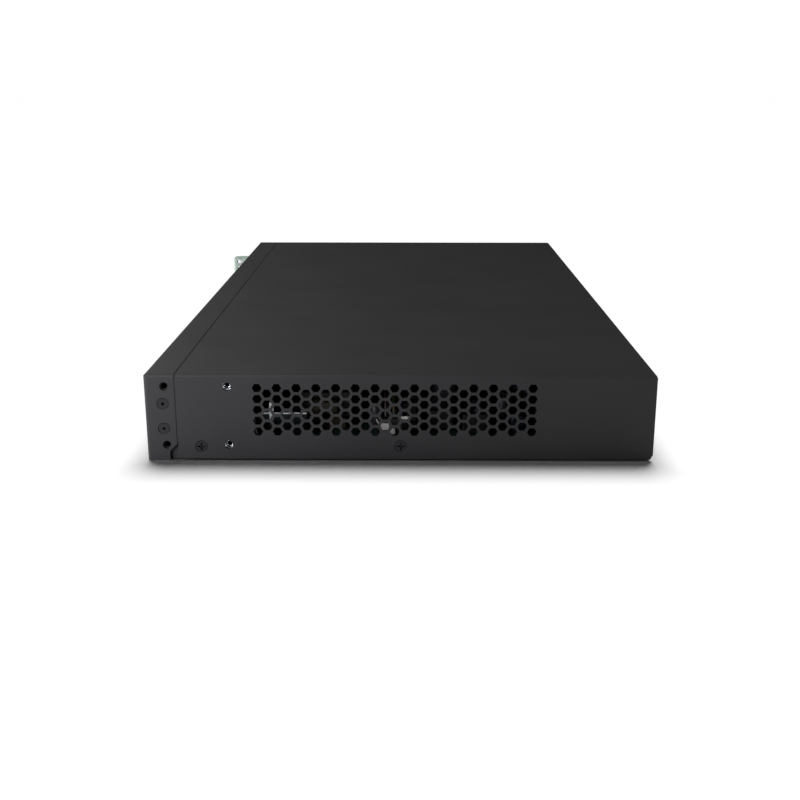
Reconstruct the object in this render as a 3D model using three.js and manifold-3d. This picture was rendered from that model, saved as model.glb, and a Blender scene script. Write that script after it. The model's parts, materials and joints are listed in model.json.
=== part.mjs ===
// A one-unit rackmount network switch, built piece by piece.
// Millimetres. X runs along the front panel, Y from the front (-) to the rear (+), Z up.
// The origin is the middle of the chassis floor's underside.
import * as THREE from "three";
import { mergeGeometries, mergeVertices } from "three/addons/utils/BufferGeometryUtils.js";
import Module from "manifold-3d";

const wasm = await Module();
wasm.setup();

// ---------------------------------------------------------------- driving dimensions

const BODY = { width: 440, depth: 250, height: 44 };
const SHEET = 1; // steel sheet thickness
const GAP = 0.3; // clearance between pieces that meet
const BEND = 1.6; // outside radius of a folded edge
const ARC_STEPS = 4; // facets in a quarter turn of a folded edge
const WELD = 1e-4; // vertices closer than this are one vertex
const REST = 0.1; // a piece stands this far off the board or wall that carries it
const THROUGH = 1; // how far a cutting tool runs past the sheet it cuts

const SIDE = BODY.width / 2;
const FRONT = -BODY.depth / 2;
const REAR = BODY.depth / 2;
const TOP = BODY.height;

const FRONT_LIP = 15; // how far the front panel's flanges reach back
const SEAM = 0.5; // gap between the front panel's flanges and the cover
const REAR_LIP_Z = 33.2; // lower edge of the cover's rear lip
const COVER_FOOT = 0.8; // height of the cover's lower edge above the floor
// Cut from the cover's lower corners, and from the foot of the front panel's flanges.
const COVER_CORNERS = { front: { y: 2, z: 3 }, rear: { y: 1.3, z: 2.4 } };
const FLANGE_NOTCH = { y: 3.8, z: 4.6, topY: 0.6, topZ: 7.8 };

const TRAY = {
  side: SIDE - SHEET - GAP, // outer face of the tray's side walls
  front: FRONT + SHEET + GAP,
  rear: REAR - SHEET - GAP,
  wallTop: TOP - SHEET - 0.5,
  lowWall: 12, // side wall height beside the vents
  tallWallEnd: -74, // the side walls are full height as far back as this
  wallSlope: 4, // how far the step down from the tall wall runs
};
const REAR_FACE = TRAY.rear + REST; // what is fastened to the rear wall starts here

const VENT = { pitch: 5.55, flats: 4.2, columns: 29, rows: 5, y: -2.45, z: 26 };
const FAN_VENT = { ...VENT, columns: 8 }; // one in front of each fan, on the left side

const EAR_HOLE = { frontY: -115, rearY: -84.5, lowZ: 7.9, highZ: 37.9, radius: 2.2, thread: 1.55 };
const SIDE_SCREWS = { front: { y: -98, z: 7 }, middle: { y: 0.5, z: 7.4 } };
const PANEL_SCREWS = {
  y: -116, upperZ: 29, lowerZ: 16.3, head: 2.8, shank: 1.2, length: 4.5, socket: 0.9, socketDepth: 1.4,
};
const REAR_SCREW = { x: [-150, 150], z: 37, length: 7, head: 2.8, rim: 1, crown: 1.8, slot: 0.35 };

const BOARD = { bottom: 7, top: 8.6, hole: 1.6, post: 2.6 }; // both circuit boards lie at this height
const DECK = BOARD.top + REST; // what stands on the boards starts here
const MAIN_BOARD = { x0: -183, x1: 128, y0: -121, y1: 45 };
const SUPPLY_BOARD = { x0: 136, x1: 210, y0: -72, y1: 92 };

// Ganged modular jacks: two rows of six in each block.
const JACK = {
  pitch: 13.97, columns: 6, wall: 0.8, height: 26, depth: 32, proud: 1,
  width: 11.9, tall: 8.2, latchWidth: 6.2, latchTall: 1.5, pocket: 13.5, sill: 2.7,
};
const JACK_BLOCKS = { left: -140, right: -48 }; // left edge of each block
const CONSOLE = { x: -158, width: 15.4, height: 13.4, depth: 16 };

const CAGE = { x0: 60, pitch: 14.25, slots: 4, wall: 0.45, height: 9.8, depth: 49, proud: 1.2 };

const TERMINAL = {
  x: -194.3, z: 24.6, poles: 4, pitch: 5.08, thick: 14.6, proud: 18,
  headerWall: 1, headerDepth: 15.7, cavity: 10, tongue: 9,
  cardWidth: 20, cardThick: 1.6, cardTop: 38,
};
const TERMINAL_HEIGHT = TERMINAL.poles * TERMINAL.pitch;
const CLAMP = { well: 2.1, wellDepth: 6, screw: 1.8, length: 4.6, recess: 0.8, slot: 0.35, slotDepth: 0.9 };

const LIGHT = { width: 3.2, height: 1.6, proud: 0.2, back: 8, rail: 3, leg: 1.5 };
const STATUS = { x: -176, lightZ: [34, 30, 26, 22, 18] };
const UPLINK_LIGHT_Z = 25;
const RESET = {
  x: -176, z: 11.5, hole: 1.1, button: 0.8, recess: 1.4, length: 4.2,
  body: 3, bodyDepth: 3.5, travel: 2.5, // the switch body behind the button, and the gap before it
};

const FAN = {
  size: 40, thick: 20, x0: -216.9, z: 21.6, centres: { front: -22, rear: 42 },
  duct: 18.9, corner: 16, cornerHole: 1.7, boss: 11, bossThick: 3.5,
  spokes: 3, spokeRoot: 4, spokeThick: 2.4, spokeHalf: 1.2,
};
const ROTOR = {
  hub: 11.5, depth: 13, blades: 7, tip: 18, shaft: 1.2, shaftIn: 2, shaftOut: 3, play: 0.6,
  chord: 9, blade: 1.1, rootPitch: 48, tipPitch: 34, camber: 0.05,
};

const INLET = {
  x: 180, z: 20.5, width: 27.2, height: 19.6, depth: 22,
  flangeW: 31, flangeH: 24.5, flange: 2.6, flangeCorner: 2,
  socket: { halfX: 12, halfZ: 8, corner: 5, depth: 15 },
  blade: { halfX: 1, halfZ: 2, tip: 3, tab: 7, tabHalf: 0.5 },
};

// ---------------------------------------------------------------- solids

/** A closed geometry as a manifold-3d solid. */
function solid(geometry) {
  const loose = geometry.index ? geometry.toNonIndexed() : geometry;
  const bare = new THREE.BufferGeometry().setAttribute("position", loose.getAttribute("position"));
  const merged = mergeVertices(bare, WELD);
  return new wasm.Manifold(
    new wasm.Mesh({
      numProp: 3,
      vertProperties: merged.attributes.position.array,
      triVerts: new Uint32Array(merged.index.array),
    }),
  );
}

/** A manifold-3d solid as a geometry. */
function geometryOf(body) {
  const mesh = body.getMesh();
  const position = new Float32Array(mesh.numVert * 3);
  for (let i = 0; i < mesh.numVert; i++) {
    position.set(mesh.vertProperties.subarray(i * mesh.numProp, i * mesh.numProp + 3), i * 3);
  }
  return new THREE.BufferGeometry()
    .setAttribute("position", new THREE.BufferAttribute(position, 3))
    .setIndex(new THREE.BufferAttribute(new Uint32Array(mesh.triVerts), 1));
}

const join = (first, ...rest) => rest.reduce((sum, next) => sum.add(next), first);
const cut = (first, ...rest) => rest.reduce((left, next) => left.subtract(next), first);

/** A box given by its ranges along X, Y and Z. */
function box([x0, x1], [y0, y1], [z0, z1]) {
  const shape = new THREE.BoxGeometry(x1 - x0, y1 - y0, z1 - z0);
  return solid(shape.translate((x0 + x1) / 2, (y0 + y1) / 2, (z0 + z1) / 2));
}

// Where a flat shape's own axes and its extrusion point, for a prism along each axis.
const PRISM_AXES = {
  x: [[0, 1, 0], [0, 0, 1], [1, 0, 0]], // the shape is drawn in Y, Z
  y: [[0, 0, 1], [1, 0, 0], [0, 1, 0]], // the shape is drawn in Z, X
  z: [[1, 0, 0], [0, 1, 0], [0, 0, 1]], // the shape is drawn in X, Y
};

/** Flat shapes extruded from one level to another along an axis, as one geometry. */
function prismGeometry(axis, shapes, from, to) {
  const options = { depth: to - from, bevelEnabled: false, steps: 1 };
  const turn = new THREE.Matrix4().makeBasis(...PRISM_AXES[axis].map((v) => new THREE.Vector3(...v)));
  const offset = new THREE.Vector3(...PRISM_AXES[axis][2]).multiplyScalar(from);
  const parts = [shapes].flat().map((shape) => new THREE.ExtrudeGeometry(shape, options));
  const whole = mergeGeometries(parts.map((g) => (g.index ? g.toNonIndexed() : g)));
  return whole.applyMatrix4(turn).translate(offset.x, offset.y, offset.z);
}

const prism = (...args) => solid(prismGeometry(...args));

/** A rectangle, with a corner radius for each corner: low-low, high-low, high-high, low-high. */
function rectangle([u0, u1], [v0, v1], radii = [0, 0, 0, 0]) {
  const corners = [[u0, v0, Math.PI], [u1, v0, -Math.PI / 2], [u1, v1, 0], [u0, v1, Math.PI / 2]];
  const points = corners.flatMap(([u, v, start], i) => {
    const r = radii[i];
    if (!r) return [[u, v]];
    const centreU = u + (u === u0 ? r : -r);
    const centreV = v + (v === v0 ? r : -r);
    const turn = Math.PI / 2 / ARC_STEPS;
    const angles = Array.from({ length: ARC_STEPS + 1 }, (_, step) => start + step * turn);
    return angles.map((angle) => [centreU + r * Math.cos(angle), centreV + r * Math.sin(angle)]);
  });
  return outline(points);
}

const outline = (points) => new THREE.Shape(points.map(([u, v]) => new THREE.Vector2(u, v)));

/** A regular polygon of `sides` corners. */
function polygon(u, v, radius, sides) {
  const angles = Array.from({ length: sides }, (_, i) => (i * 2 * Math.PI) / sides);
  return outline(angles.map((a) => [u + radius * Math.cos(a), v + radius * Math.sin(a)]));
}

/** A body of revolution about an axis through `centre`; the profile is [radius, level] pairs. */
function turned(axis, centre, profile, sides = 20) {
  const points = profile.map(([radius, level]) => new THREE.Vector2(radius, level));
  const shape = new THREE.LatheGeometry(points, sides);
  if (axis === "x") shape.rotateZ(-Math.PI / 2);
  if (axis === "z") shape.rotateX(Math.PI / 2);
  const body = solid(shape.translate(...centre));
  return body.volume() < 0 ? solid(shape.scale(-1, 1, 1)) : body;
}

/** A round bar between two levels of an axis, centred on the other two coordinates. */
function bar(axis, [a, b], radius, from, to, sides = 20) {
  const drawn = axis === "y" ? polygon(b, a, radius, sides) : polygon(a, b, radius, sides);
  return prism(axis, drawn, from, to);
}

/** A tube of `radius` that follows a smooth line through the points. */
function wire(points, radius, steps) {
  const places = points.map((place) => new THREE.Vector3(...place));
  const line = new THREE.CatmullRomCurve3(places, false, "centripetal");
  const options = { steps, extrudePath: line, bevelEnabled: false };
  return solid(new THREE.ExtrudeGeometry(polygon(0, 0, radius, 7), options));
}

/** The same solid on the other side of the centre line. */
const mirrored = (body) => body.mirror([1, 0, 0]);

/** Hexagons in staggered columns; every second column is one hexagon shorter. */
function honeycomb({ pitch, flats, columns, rows }, u, v) {
  const columnStep = (pitch * Math.sqrt(3)) / 2;
  const cells = [];
  for (let column = 0; column < columns; column++) {
    const count = column % 2 ? rows - 1 : rows;
    for (let row = 0; row < count; row++) {
      const cellU = u + (column - (columns - 1) / 2) * columnStep;
      const cellV = v + (row - (count - 1) / 2) * pitch;
      cells.push([cellU, cellV]);
    }
  }
  return cells.map(([cellU, cellV]) => polygon(cellU, cellV, flats / Math.sqrt(3), 6));
}

// ---------------------------------------------------------------- sheet metal

/** The four places on one side where a rack ear is fastened. */
const EAR_PLACES = [EAR_HOLE.frontY, EAR_HOLE.rearY].flatMap((y) =>
  [EAR_HOLE.lowZ, EAR_HOLE.highZ].map((z) => [y, z]),
);

const SCREW = { head: 3, shank: 1.45, length: 7, recess: 1.2, cross: 2, slot: 0.4 };
const FLUSH = SIDE - 0.1; // outer face of every countersunk head in the right side
const ROUND_SIDES = 14; // facets of a small round hole or screw

/** The outline of a countersunk screw in the right side, `grow` wider all round. */
function countersunk({ y, z }, { head, shank, length }, grow = 0) {
  const profile = [
    [0, FLUSH - length], [shank + grow, FLUSH - length], [shank + grow, FLUSH - (head - shank)],
    [head + grow, FLUSH], [0, FLUSH],
  ];
  return turned("x", [0, y, z], profile, ROUND_SIDES);
}

/** The seat a countersunk screw needs in the sheet, open to the outside. */
function seat(place, screw) {
  const mouth = bar("x", [place.y, place.z], screw.head + GAP, FLUSH - 0.01, SIDE + THROUGH, ROUND_SIDES);
  return join(countersunk(place, screw, GAP), mouth);
}

/** A cross-recessed cover screw in the right side. */
function sideScrew({ y, z }) {
  const { cross, slot, recess } = SCREW;
  const arms = [[cross, slot], [slot, cross]].map(([halfY, halfZ]) =>
    box([FLUSH - recess, FLUSH + THROUGH], [y - halfY, y + halfY], [z - halfZ, z + halfZ]),
  );
  return cut(countersunk({ y, z }, SCREW), ...arms);
}

/** The places of the two small socket screws that hold one flange of the front panel. */
const panelPlaces = [PANEL_SCREWS.upperZ, PANEL_SCREWS.lowerZ].map((z) => ({ y: PANEL_SCREWS.y, z }));

/** A small socket screw in the front panel's right flange. */
function panelScrew(z) {
  const { y, socket, socketDepth } = PANEL_SCREWS;
  const hexagon = bar("x", [y, z], socket, FLUSH - socketDepth, FLUSH + THROUGH, 6);
  return cut(countersunk({ y, z }, PANEL_SCREWS), hexagon);
}

/** A rack ear's hole through the side, as a shape in Y, Z. */
const earHole = ([y, z]) => polygon(y, z, EAR_HOLE.radius, 16);

/** The U-shaped lid: top, both perforated sides and the lip that closes over the rear wall. */
function topCover() {
  const start = FRONT + FRONT_LIP + SEAM;
  const crossSection = rectangle([COVER_FOOT, TOP], [-SIDE, SIDE], [0, BEND, BEND, 0]);
  const { front, rear } = COVER_CORNERS;
  const edge = BEND * 0.3; // where the middle facet of the rear bend lies
  const sideView = outline([
    [start, COVER_FOOT + front.z], [start + front.y, COVER_FOOT],
    [REAR - rear.y, COVER_FOOT], [REAR, COVER_FOOT + rear.z],
    [REAR, TOP - BEND], [REAR - edge, TOP - edge], [REAR - BEND, TOP], [start, TOP],
  ]);
  const shell = prism("y", crossSection, start, REAR).intersect(prism("x", sideView, -SIDE, SIDE));
  const inside = SIDE - SHEET;
  const hollow = box([-inside, inside], [start - THROUGH, REAR - SHEET], [-THROUGH, TOP - SHEET]);
  const rearOpening = box([-inside, inside], [REAR - 2 * SHEET, REAR + THROUGH], [-THROUGH, REAR_LIP_Z]);
  const vents = honeycomb(VENT, VENT.y, VENT.z);
  const fanVents = Object.values(FAN.centres).flatMap((y) => honeycomb(FAN_VENT, y, VENT.z));
  const earHoles = EAR_PLACES.filter(([y]) => y > start).map(earHole);
  const screwSeats = Object.values(SIDE_SCREWS).map((place) => seat(place, SCREW));
  const rearHoles = REAR_SCREW.x.map((x) => polygon(REAR_SCREW.z, x, SCREW.shank + GAP, 12));
  return cut(
    shell,
    hollow,
    rearOpening,
    prism("x", vents, inside - THROUGH, SIDE + THROUGH),
    prism("x", fanVents, -SIDE - THROUGH, -inside + THROUGH),
    prism("x", earHoles, -SIDE - THROUGH, SIDE + THROUGH),
    ...screwSeats,
    ...screwSeats.map(mirrored),
    prism("y", rearHoles, REAR - SHEET - THROUGH, REAR + THROUGH),
  );
}

/** The tray: floor, side walls, rear wall and the pressed-in board supports. */
function chassisBase() {
  const { side, front, rear, wallTop, lowWall, tallWallEnd, wallSlope } = TRAY;
  const floor = box([-side, side], [front, rear], [0, SHEET]);
  const wallView = outline([
    [front, SHEET / 2], [rear, SHEET / 2], [rear, lowWall], [tallWallEnd + wallSlope, lowWall],
    [tallWallEnd, wallTop], [front, wallTop],
  ]);
  const wall = prism("x", wallView, side - SHEET, side);
  const rearWall = box([-side, side], [rear - SHEET, rear], [SHEET / 2, wallTop]);
  const post = ([x, y]) => bar("z", [x, y], BOARD.post, SHEET / 2, BOARD.bottom - GAP, 10);
  const tray = join(floor, wall, mirrored(wall), rearWall, ...boardPosts().map(post));

  const threads = EAR_PLACES.map(([y, z]) => {
    const nut = y === EAR_HOLE.rearY;
    return polygon(y, z, nut ? EAR_NUT.shank + GAP : EAR_HOLE.thread, ROUND_SIDES);
  });
  const seats = [
    ...Object.values(SIDE_SCREWS).map((place) => seat(place, SCREW)),
    ...panelPlaces.map((place) => seat(place, PANEL_SCREWS)),
  ];
  const inletHole = rectangle(
    [INLET.z - INLET.height / 2 - GAP, INLET.z + INLET.height / 2 + GAP],
    [INLET.x - INLET.width / 2 - GAP, INLET.x + INLET.width / 2 + GAP],
  );
  const rearHoles = REAR_SCREW.x.map((x) => polygon(REAR_SCREW.z, x, SCREW.shank + GAP, 12));
  const groundHole = polygon(GROUND.z, GROUND.x, GROUND.shank + GAP, 12);
  return cut(
    tray,
    prism("x", threads, -side - THROUGH, side + THROUGH),
    ...seats,
    ...seats.map(mirrored),
    prism("y", [inletHole, ...rearHoles, groundHole], rear - SHEET - THROUGH, rear + THROUGH),
  );
}

/** Where the boards stand on the floor, clear of the sockets. */
function boardPosts() {
  const inset = 5;
  const [leftInset, frontInset] = [24, 40];
  const { x0, x1, y0, y1 } = MAIN_BOARD;
  const columns = [x0 + leftInset, (x0 + x1) / 2, x1 - inset];
  const main = columns.flatMap((x) => [[x, y0 + frontInset], [x, y1 - inset]]);
  const s = SUPPLY_BOARD;
  const supply = [s.x0 + inset, s.x1 - inset].flatMap((x) => [[x, s.y0 + inset], [x, s.y1 - inset]]);
  return [...main, ...supply];
}

const EAR_NUT = { shank: 2.1, flange: 3.8, thick: 2.5 };

/** A clinch nut pressed into the right side wall from inside. */
function earNut(z) {
  const face = TRAY.side - REST;
  const inner = TRAY.side - SHEET - GAP;
  const profile = [
    [EAR_HOLE.thread, inner - EAR_NUT.thick], [EAR_NUT.flange, inner - EAR_NUT.thick],
    [EAR_NUT.flange, inner], [EAR_NUT.shank, inner], [EAR_NUT.shank, face], [EAR_HOLE.thread, face],
    [EAR_HOLE.thread, inner - EAR_NUT.thick],
  ];
  return turned("x", [0, EAR_HOLE.rearY, z], profile, ROUND_SIDES);
}

/** The front panel: a shallow tray of sheet with every connector's window. */
function frontPanel() {
  const back = FRONT + FRONT_LIP;
  const block = prism("y", rectangle([0, TOP], [-SIDE, SIDE], [0, BEND, BEND, 0]), FRONT, back)
    .intersect(prism("x", rectangle([FRONT, back], [0, TOP], [0, 0, 0, BEND]), -SIDE, SIDE))
    .intersect(prism("z", rectangle([-SIDE, SIDE], [FRONT, back], [BEND, BEND, 0, 0]), 0, TOP));
  const inside = SIDE - SHEET;
  const hollow = box([-inside, inside], [FRONT + SHEET, back + THROUGH], [-THROUGH, TOP - SHEET]);
  const { y, z, topY, topZ } = FLANGE_NOTCH;
  const notch = outline([
    [back - y, -THROUGH], [back + THROUGH, -THROUGH], [back + THROUGH, topZ],
    [back - topY, topZ], [back - y, z],
  ]);
  const sideHoles = [
    ...EAR_PLACES.filter(([y]) => y < back).map(earHole),
    notch,
  ];
  const screwSeats = panelPlaces.map((place) => seat(place, PANEL_SCREWS));
  const windows = [
    ...Object.values(JACK_BLOCKS).map((x) => windowAround(jackBlockBox(x))),
    windowAround(consoleBox()),
    windowAround(cageBox()),
    windowAround(headerBox()),
    ...statusPlaces().map(([x, level]) => windowAround(lightBox(x, level))),
    ...uplinkPlaces().map(([x, level]) => windowAround(lightBox(x, level))),
    polygon(RESET.z, RESET.x, RESET.hole, ROUND_SIDES),
  ];
  return cut(
    block,
    hollow,
    prism("x", sideHoles, -SIDE - THROUGH, SIDE + THROUGH),
    ...screwSeats,
    ...screwSeats.map(mirrored),
    prism("y", windows, FRONT - THROUGH, FRONT + SHEET + THROUGH),
  );
}

/** The front window that a piece passes through, as a shape in Z, X. */
function windowAround([[x0, x1], , [z0, z1]]) {
  return rectangle([z0 - GAP, z1 + GAP], [x0 - GAP, x1 + GAP]);
}

// ---------------------------------------------------------------- main board and what stands on it

/** A board with a hole over each of its posts. */
function board({ x0, x1, y0, y1 }) {
  const holes = boardPosts()
    .filter(([x]) => x > x0 && x < x1)
    .map(([x, y]) => polygon(x, y, BOARD.hole, 12));
  const plate = box([x0, x1], [y0, y1], [BOARD.bottom, BOARD.top]);
  return cut(plate, prism("z", holes, BOARD.bottom - THROUGH, BOARD.top + THROUGH));
}

const CHIP = { x: -12, y: -38, size: 35, top: BOARD.top + 2.6 };
const CHIP_SINK = { x: CHIP.x, y: CHIP.y, width: 46, depth: 46, bottom: CHIP.top + REST, top: 26, fins: 11 };
const PORT_SINK = { y: -72, width: 24, depth: 24, bottom: BOARD.top + 2, top: 19, fins: 7 };
const PORT_SINK_X = [-98, 32]; // one behind each jack block
const FIN = { thick: 1, base: 2 };

/** The switching chip. */
function switchChip() {
  const half = CHIP.size / 2;
  return box([CHIP.x - half, CHIP.x + half], [CHIP.y - half, CHIP.y + half], [DECK, CHIP.top]);
}

/** A block of upright fins that run front to rear. */
function heatsink({ x, y, width, depth, bottom, top, fins }) {
  const base = bottom + FIN.base;
  const pitch = (width - FIN.thick) / (fins - 1);
  const lefts = Array.from({ length: fins }, (_, i) => x - width / 2 + i * pitch);
  const crest = lefts.flatMap((left) => {
    const right = left + FIN.thick;
    return [[base, left], [top, left], [top, right], [base, right]];
  });
  const points = [[bottom, x - width / 2], ...crest.slice(1, -1), [bottom, x + width / 2]];
  return prism("y", outline(points.reverse()), y - depth / 2, y + depth / 2);
}

/** The space a two-row jack block fills. */
function jackBlockBox(left) {
  const width = JACK.columns * JACK.pitch + 2 * JACK.wall;
  const y = FRONT - JACK.proud;
  return [[left, left + width], [y, y + JACK.depth], [DECK, DECK + JACK.height]];
}

/** A plug's opening: a rectangle with the latch's notch on its outer side. */
function plugOpening(x, low, up) {
  const half = JACK.width / 2;
  const latch = JACK.latchWidth / 2;
  const [inner, outer] = up ? [low, low + JACK.tall] : [low + JACK.tall, low];
  const tip = outer + (up ? JACK.latchTall : -JACK.latchTall);
  const points = [
    [inner, x - half], [outer, x - half], [outer, x - latch], [tip, x - latch],
    [tip, x + latch], [outer, x + latch], [outer, x + half], [inner, x + half],
  ];
  return outline(points);
}

/** Two rows of modular jacks in one shielded block, latches outward. */
function jackBlock(left) {
  const [xs, ys, zs] = jackBlockBox(left);
  const openings = [];
  for (let column = 0; column < JACK.columns; column++) {
    const x = left + JACK.wall + (column + 0.5) * JACK.pitch;
    openings.push(plugOpening(x, zs[0] + JACK.sill, false));
    openings.push(plugOpening(x, zs[1] - JACK.sill - JACK.tall, true));
  }
  return cut(box(xs, ys, zs), prism("y", openings, ys[0] - THROUGH, ys[0] + JACK.pocket));
}

/** The space the console jack fills. */
function consoleBox() {
  const y = FRONT - JACK.proud;
  const half = CONSOLE.width / 2;
  return [[CONSOLE.x - half, CONSOLE.x + half], [y, y + CONSOLE.depth], [DECK, DECK + CONSOLE.height]];
}

/** The single modular jack for the console cable. */
function consoleJack() {
  const [xs, ys, zs] = consoleBox();
  const opening = plugOpening(CONSOLE.x, zs[0] + JACK.sill, false);
  return cut(box(xs, ys, zs), prism("y", opening, ys[0] - THROUGH, ys[0] + JACK.pocket));
}

/** The space the bank of optical cages fills. */
function cageBox() {
  const width = CAGE.slots * CAGE.pitch + CAGE.wall;
  const y = FRONT - CAGE.proud;
  return [[CAGE.x0, CAGE.x0 + width], [y, y + CAGE.depth], [DECK, DECK + CAGE.height]];
}

/** Four side-by-side cages of folded sheet for pluggable optical modules. */
function cageBank() {
  const [xs, ys, zs] = cageBox();
  const slots = Array.from({ length: CAGE.slots }, (_, i) => {
    const left = CAGE.x0 + CAGE.wall + i * CAGE.pitch;
    return rectangle([zs[0] + CAGE.wall, zs[1] - CAGE.wall], [left, left + CAGE.pitch - CAGE.wall]);
  });
  return cut(box(xs, ys, zs), prism("y", slots, ys[0] - THROUGH, ys[1] - CAGE.wall));
}

/** One light window of a light pipe, as it stands in the panel. */
function lightBox(x, z) {
  const { width, height, proud, back } = LIGHT;
  return [[x - width / 2, x + width / 2], [FRONT - proud, FRONT + back], [z - height / 2, z + height / 2]];
}

/** Where the column of status lights stands, as X, Z. */
const statusPlaces = () => STATUS.lightZ.map((z) => [STATUS.x, z]);

/** Where the light over each optical cage stands, as X, Z. */
function uplinkPlaces() {
  const { x0, pitch, slots } = CAGE;
  return Array.from({ length: slots }, (_, i) => [x0 + (i + 0.5) * pitch, UPLINK_LIGHT_Z]);
}

/** Light guides joined by a rail behind the panel, with a bracket and a leg down to the board. */
function lightPipe(places, legX) {
  const { width, height, back, rail, leg } = LIGHT;
  const fingers = places.map(([x, z]) => box(...lightBox(x, z)));
  const xs = places.map(([x]) => x);
  const zs = places.map(([, z]) => z);
  const ys = [FRONT + back - rail, FRONT + back];
  const [low, high] = [Math.min(...zs) - height / 2, Math.max(...zs) + height / 2];
  const [left, right] = [Math.min(...xs) - width / 2, Math.max(...xs) + width / 2];
  const railBar = box([left, right], ys, [low, high]);
  const bracket = box([Math.min(left, legX - leg), Math.max(xs[0], legX + leg)], ys, [high - height, high]);
  const legBar = box([legX - leg, legX + leg], ys, [DECK, high]);
  return join(railBar, ...fingers, bracket, legBar);
}

/** The guide that brings the status lights to the panel. */
const statusLightPipe = () => lightPipe(statusPlaces(), STATUS.x + 5);

/** The guide that brings the optical ports' lights to the panel. */
const uplinkLightPipe = () => lightPipe(uplinkPlaces(), CAGE.x0 - 4);

/** The small push switch behind the panel's pinhole. */
function resetSwitch() {
  const { x, z, recess, button, body, bodyDepth, travel } = RESET;
  const y = FRONT + SHEET + recess + travel;
  const housing = box([x - body, x + body], [y, y + bodyDepth], [DECK, z + body]);
  return cut(housing, bar("y", [x, z], button + GAP, y - THROUGH, y + travel + REST, ROUND_SIDES));
}

/** The button of the small push switch. */
function resetButton() {
  const { x, z, recess, button, length } = RESET;
  const y = FRONT + SHEET + recess;
  return bar("y", [x, z], button, y, y + length, ROUND_SIDES);
}

// ---------------------------------------------------------------- pluggable terminal block

const PLUG = {
  front: FRONT - TERMINAL.proud,
  back: FRONT - JACK.proud - GAP,
  low: TERMINAL.z - TERMINAL_HEIGHT / 2,
  high: TERMINAL.z + TERMINAL_HEIGHT / 2,
  screwY: FRONT - TERMINAL.proud + 4.6,
  leftCorner: 2.4, // cut from the front edge on the left
  rightCorner: 1, // and on the right
  entry: { x0: -5, x1: -1.4, halfZ: 1.8, depth: 9 }, // where each wire goes in
  pin: 0.9, // half the width of each pin's slot
};

/** The height of each pole's middle. */
const poleHeights = () =>
  Array.from({ length: TERMINAL.poles }, (_, i) => PLUG.low + (i + 0.5) * TERMINAL.pitch);

/** The space the header fills. */
function headerBox() {
  const half = TERMINAL.thick / 2;
  const y = FRONT - JACK.proud;
  return [[TERMINAL.x - half, TERMINAL.x + half], [y, y + TERMINAL.headerDepth], [PLUG.low, PLUG.high]];
}

/** The board-side half: an open box that the plug's tongue goes into. */
function terminalHeader() {
  const [xs, ys, zs] = headerBox();
  const w = TERMINAL.headerWall;
  const mouth = [ys[0] - THROUGH, ys[0] + TERMINAL.cavity];
  return cut(box(xs, ys, zs), box([xs[0] + w, xs[1] - w], mouth, [zs[0] + w, zs[1] - w]));
}

/** The upright card that carries the header and stands on the floor. */
function terminalBoard() {
  const { x, cardWidth, cardThick, cardTop, headerDepth } = TERMINAL;
  const y = FRONT - JACK.proud + headerDepth + GAP;
  return box([x - cardWidth / 2, x + cardWidth / 2], [y, y + cardThick], [SHEET + GAP, cardTop]);
}

/** The wire-side half: four screw clamps in a body that pulls off towards the front. */
function terminalPlug() {
  const { front, back, low, high, screwY, leftCorner, rightCorner, entry, pin } = PLUG;
  const { x, thick, headerWall, tongue } = TERMINAL;
  const [left, right] = [x - thick / 2, x + thick / 2];
  const side = outline([
    [left, back], [left, front + leftCorner], [left + leftCorner, front],
    [right - rightCorner, front], [right, front + rightCorner], [right, back],
  ]);
  const body = prism("z", side, low, high);
  const inset = headerWall + GAP;
  const insertDepth = [back - THROUGH, back + tongue];
  const insert = box([left + inset, right - inset], insertDepth, [low + inset, high - inset]);
  const entries = poleHeights().map((z) =>
    rectangle([z - entry.halfZ, z + entry.halfZ], [x + entry.x0, x + entry.x1]),
  );
  const wells = poleHeights().map((z) => polygon(screwY, z, CLAMP.well, ROUND_SIDES));
  const slots = poleHeights().map((z) => rectangle([z - pin, z + pin], [x - pin, x + pin]));
  return cut(
    join(body, insert),
    prism("y", entries, front - THROUGH, front + entry.depth),
    prism("x", wells, right - CLAMP.wellDepth, right + THROUGH),
    prism("y", slots, back + THROUGH, back + tongue + THROUGH),
  );
}

/** A slotted clamp screw in its well on the plug's right face. */
function terminalScrew(z) {
  const { screw, length, recess, slot, slotDepth } = CLAMP;
  const face = TERMINAL.x + TERMINAL.thick / 2 - recess;
  const body = bar("x", [PLUG.screwY, z], screw, face - length, face, ROUND_SIDES);
  const across = [PLUG.screwY - screw - THROUGH, PLUG.screwY + screw + THROUGH];
  return cut(body, box([face - slotDepth, face + THROUGH], across, [z - slot, z + slot]));
}

// ---------------------------------------------------------------- fans

/** A fan's square housing with its round duct, corner holes, motor seat and spokes. */
function fanFrame(y) {
  const { size, thick, x0, z, duct, corner, cornerHole, boss, bossThick } = FAN;
  const half = size / 2;
  const x1 = x0 + thick;
  const cornerHoles = [-corner, corner].flatMap((dy) =>
    [-corner, corner].map((dz) => polygon(y + dy, z + dz, cornerHole, 8)),
  );
  const shell = cut(
    box([x0, x1], [y - half, y + half], [z - half, z + half]),
    prism("x", [polygon(y, z, duct, 32), ...cornerHoles], x0 - THROUGH, x1 + THROUGH),
  );
  const motorSeat = bar("x", [y, z], boss, x1 - bossThick, x1, 24);
  const spokes = Array.from({ length: FAN.spokes }, (_, i) => fanSpoke(y, i));
  const boreEnd = x1 - ROTOR.shaftIn / 2;
  const bore = bar("x", [y, z], ROTOR.shaft + GAP, x1 - bossThick - THROUGH, boreEnd, ROUND_SIDES);
  return cut(join(shell, motorSeat, ...spokes), bore);
}

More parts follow.
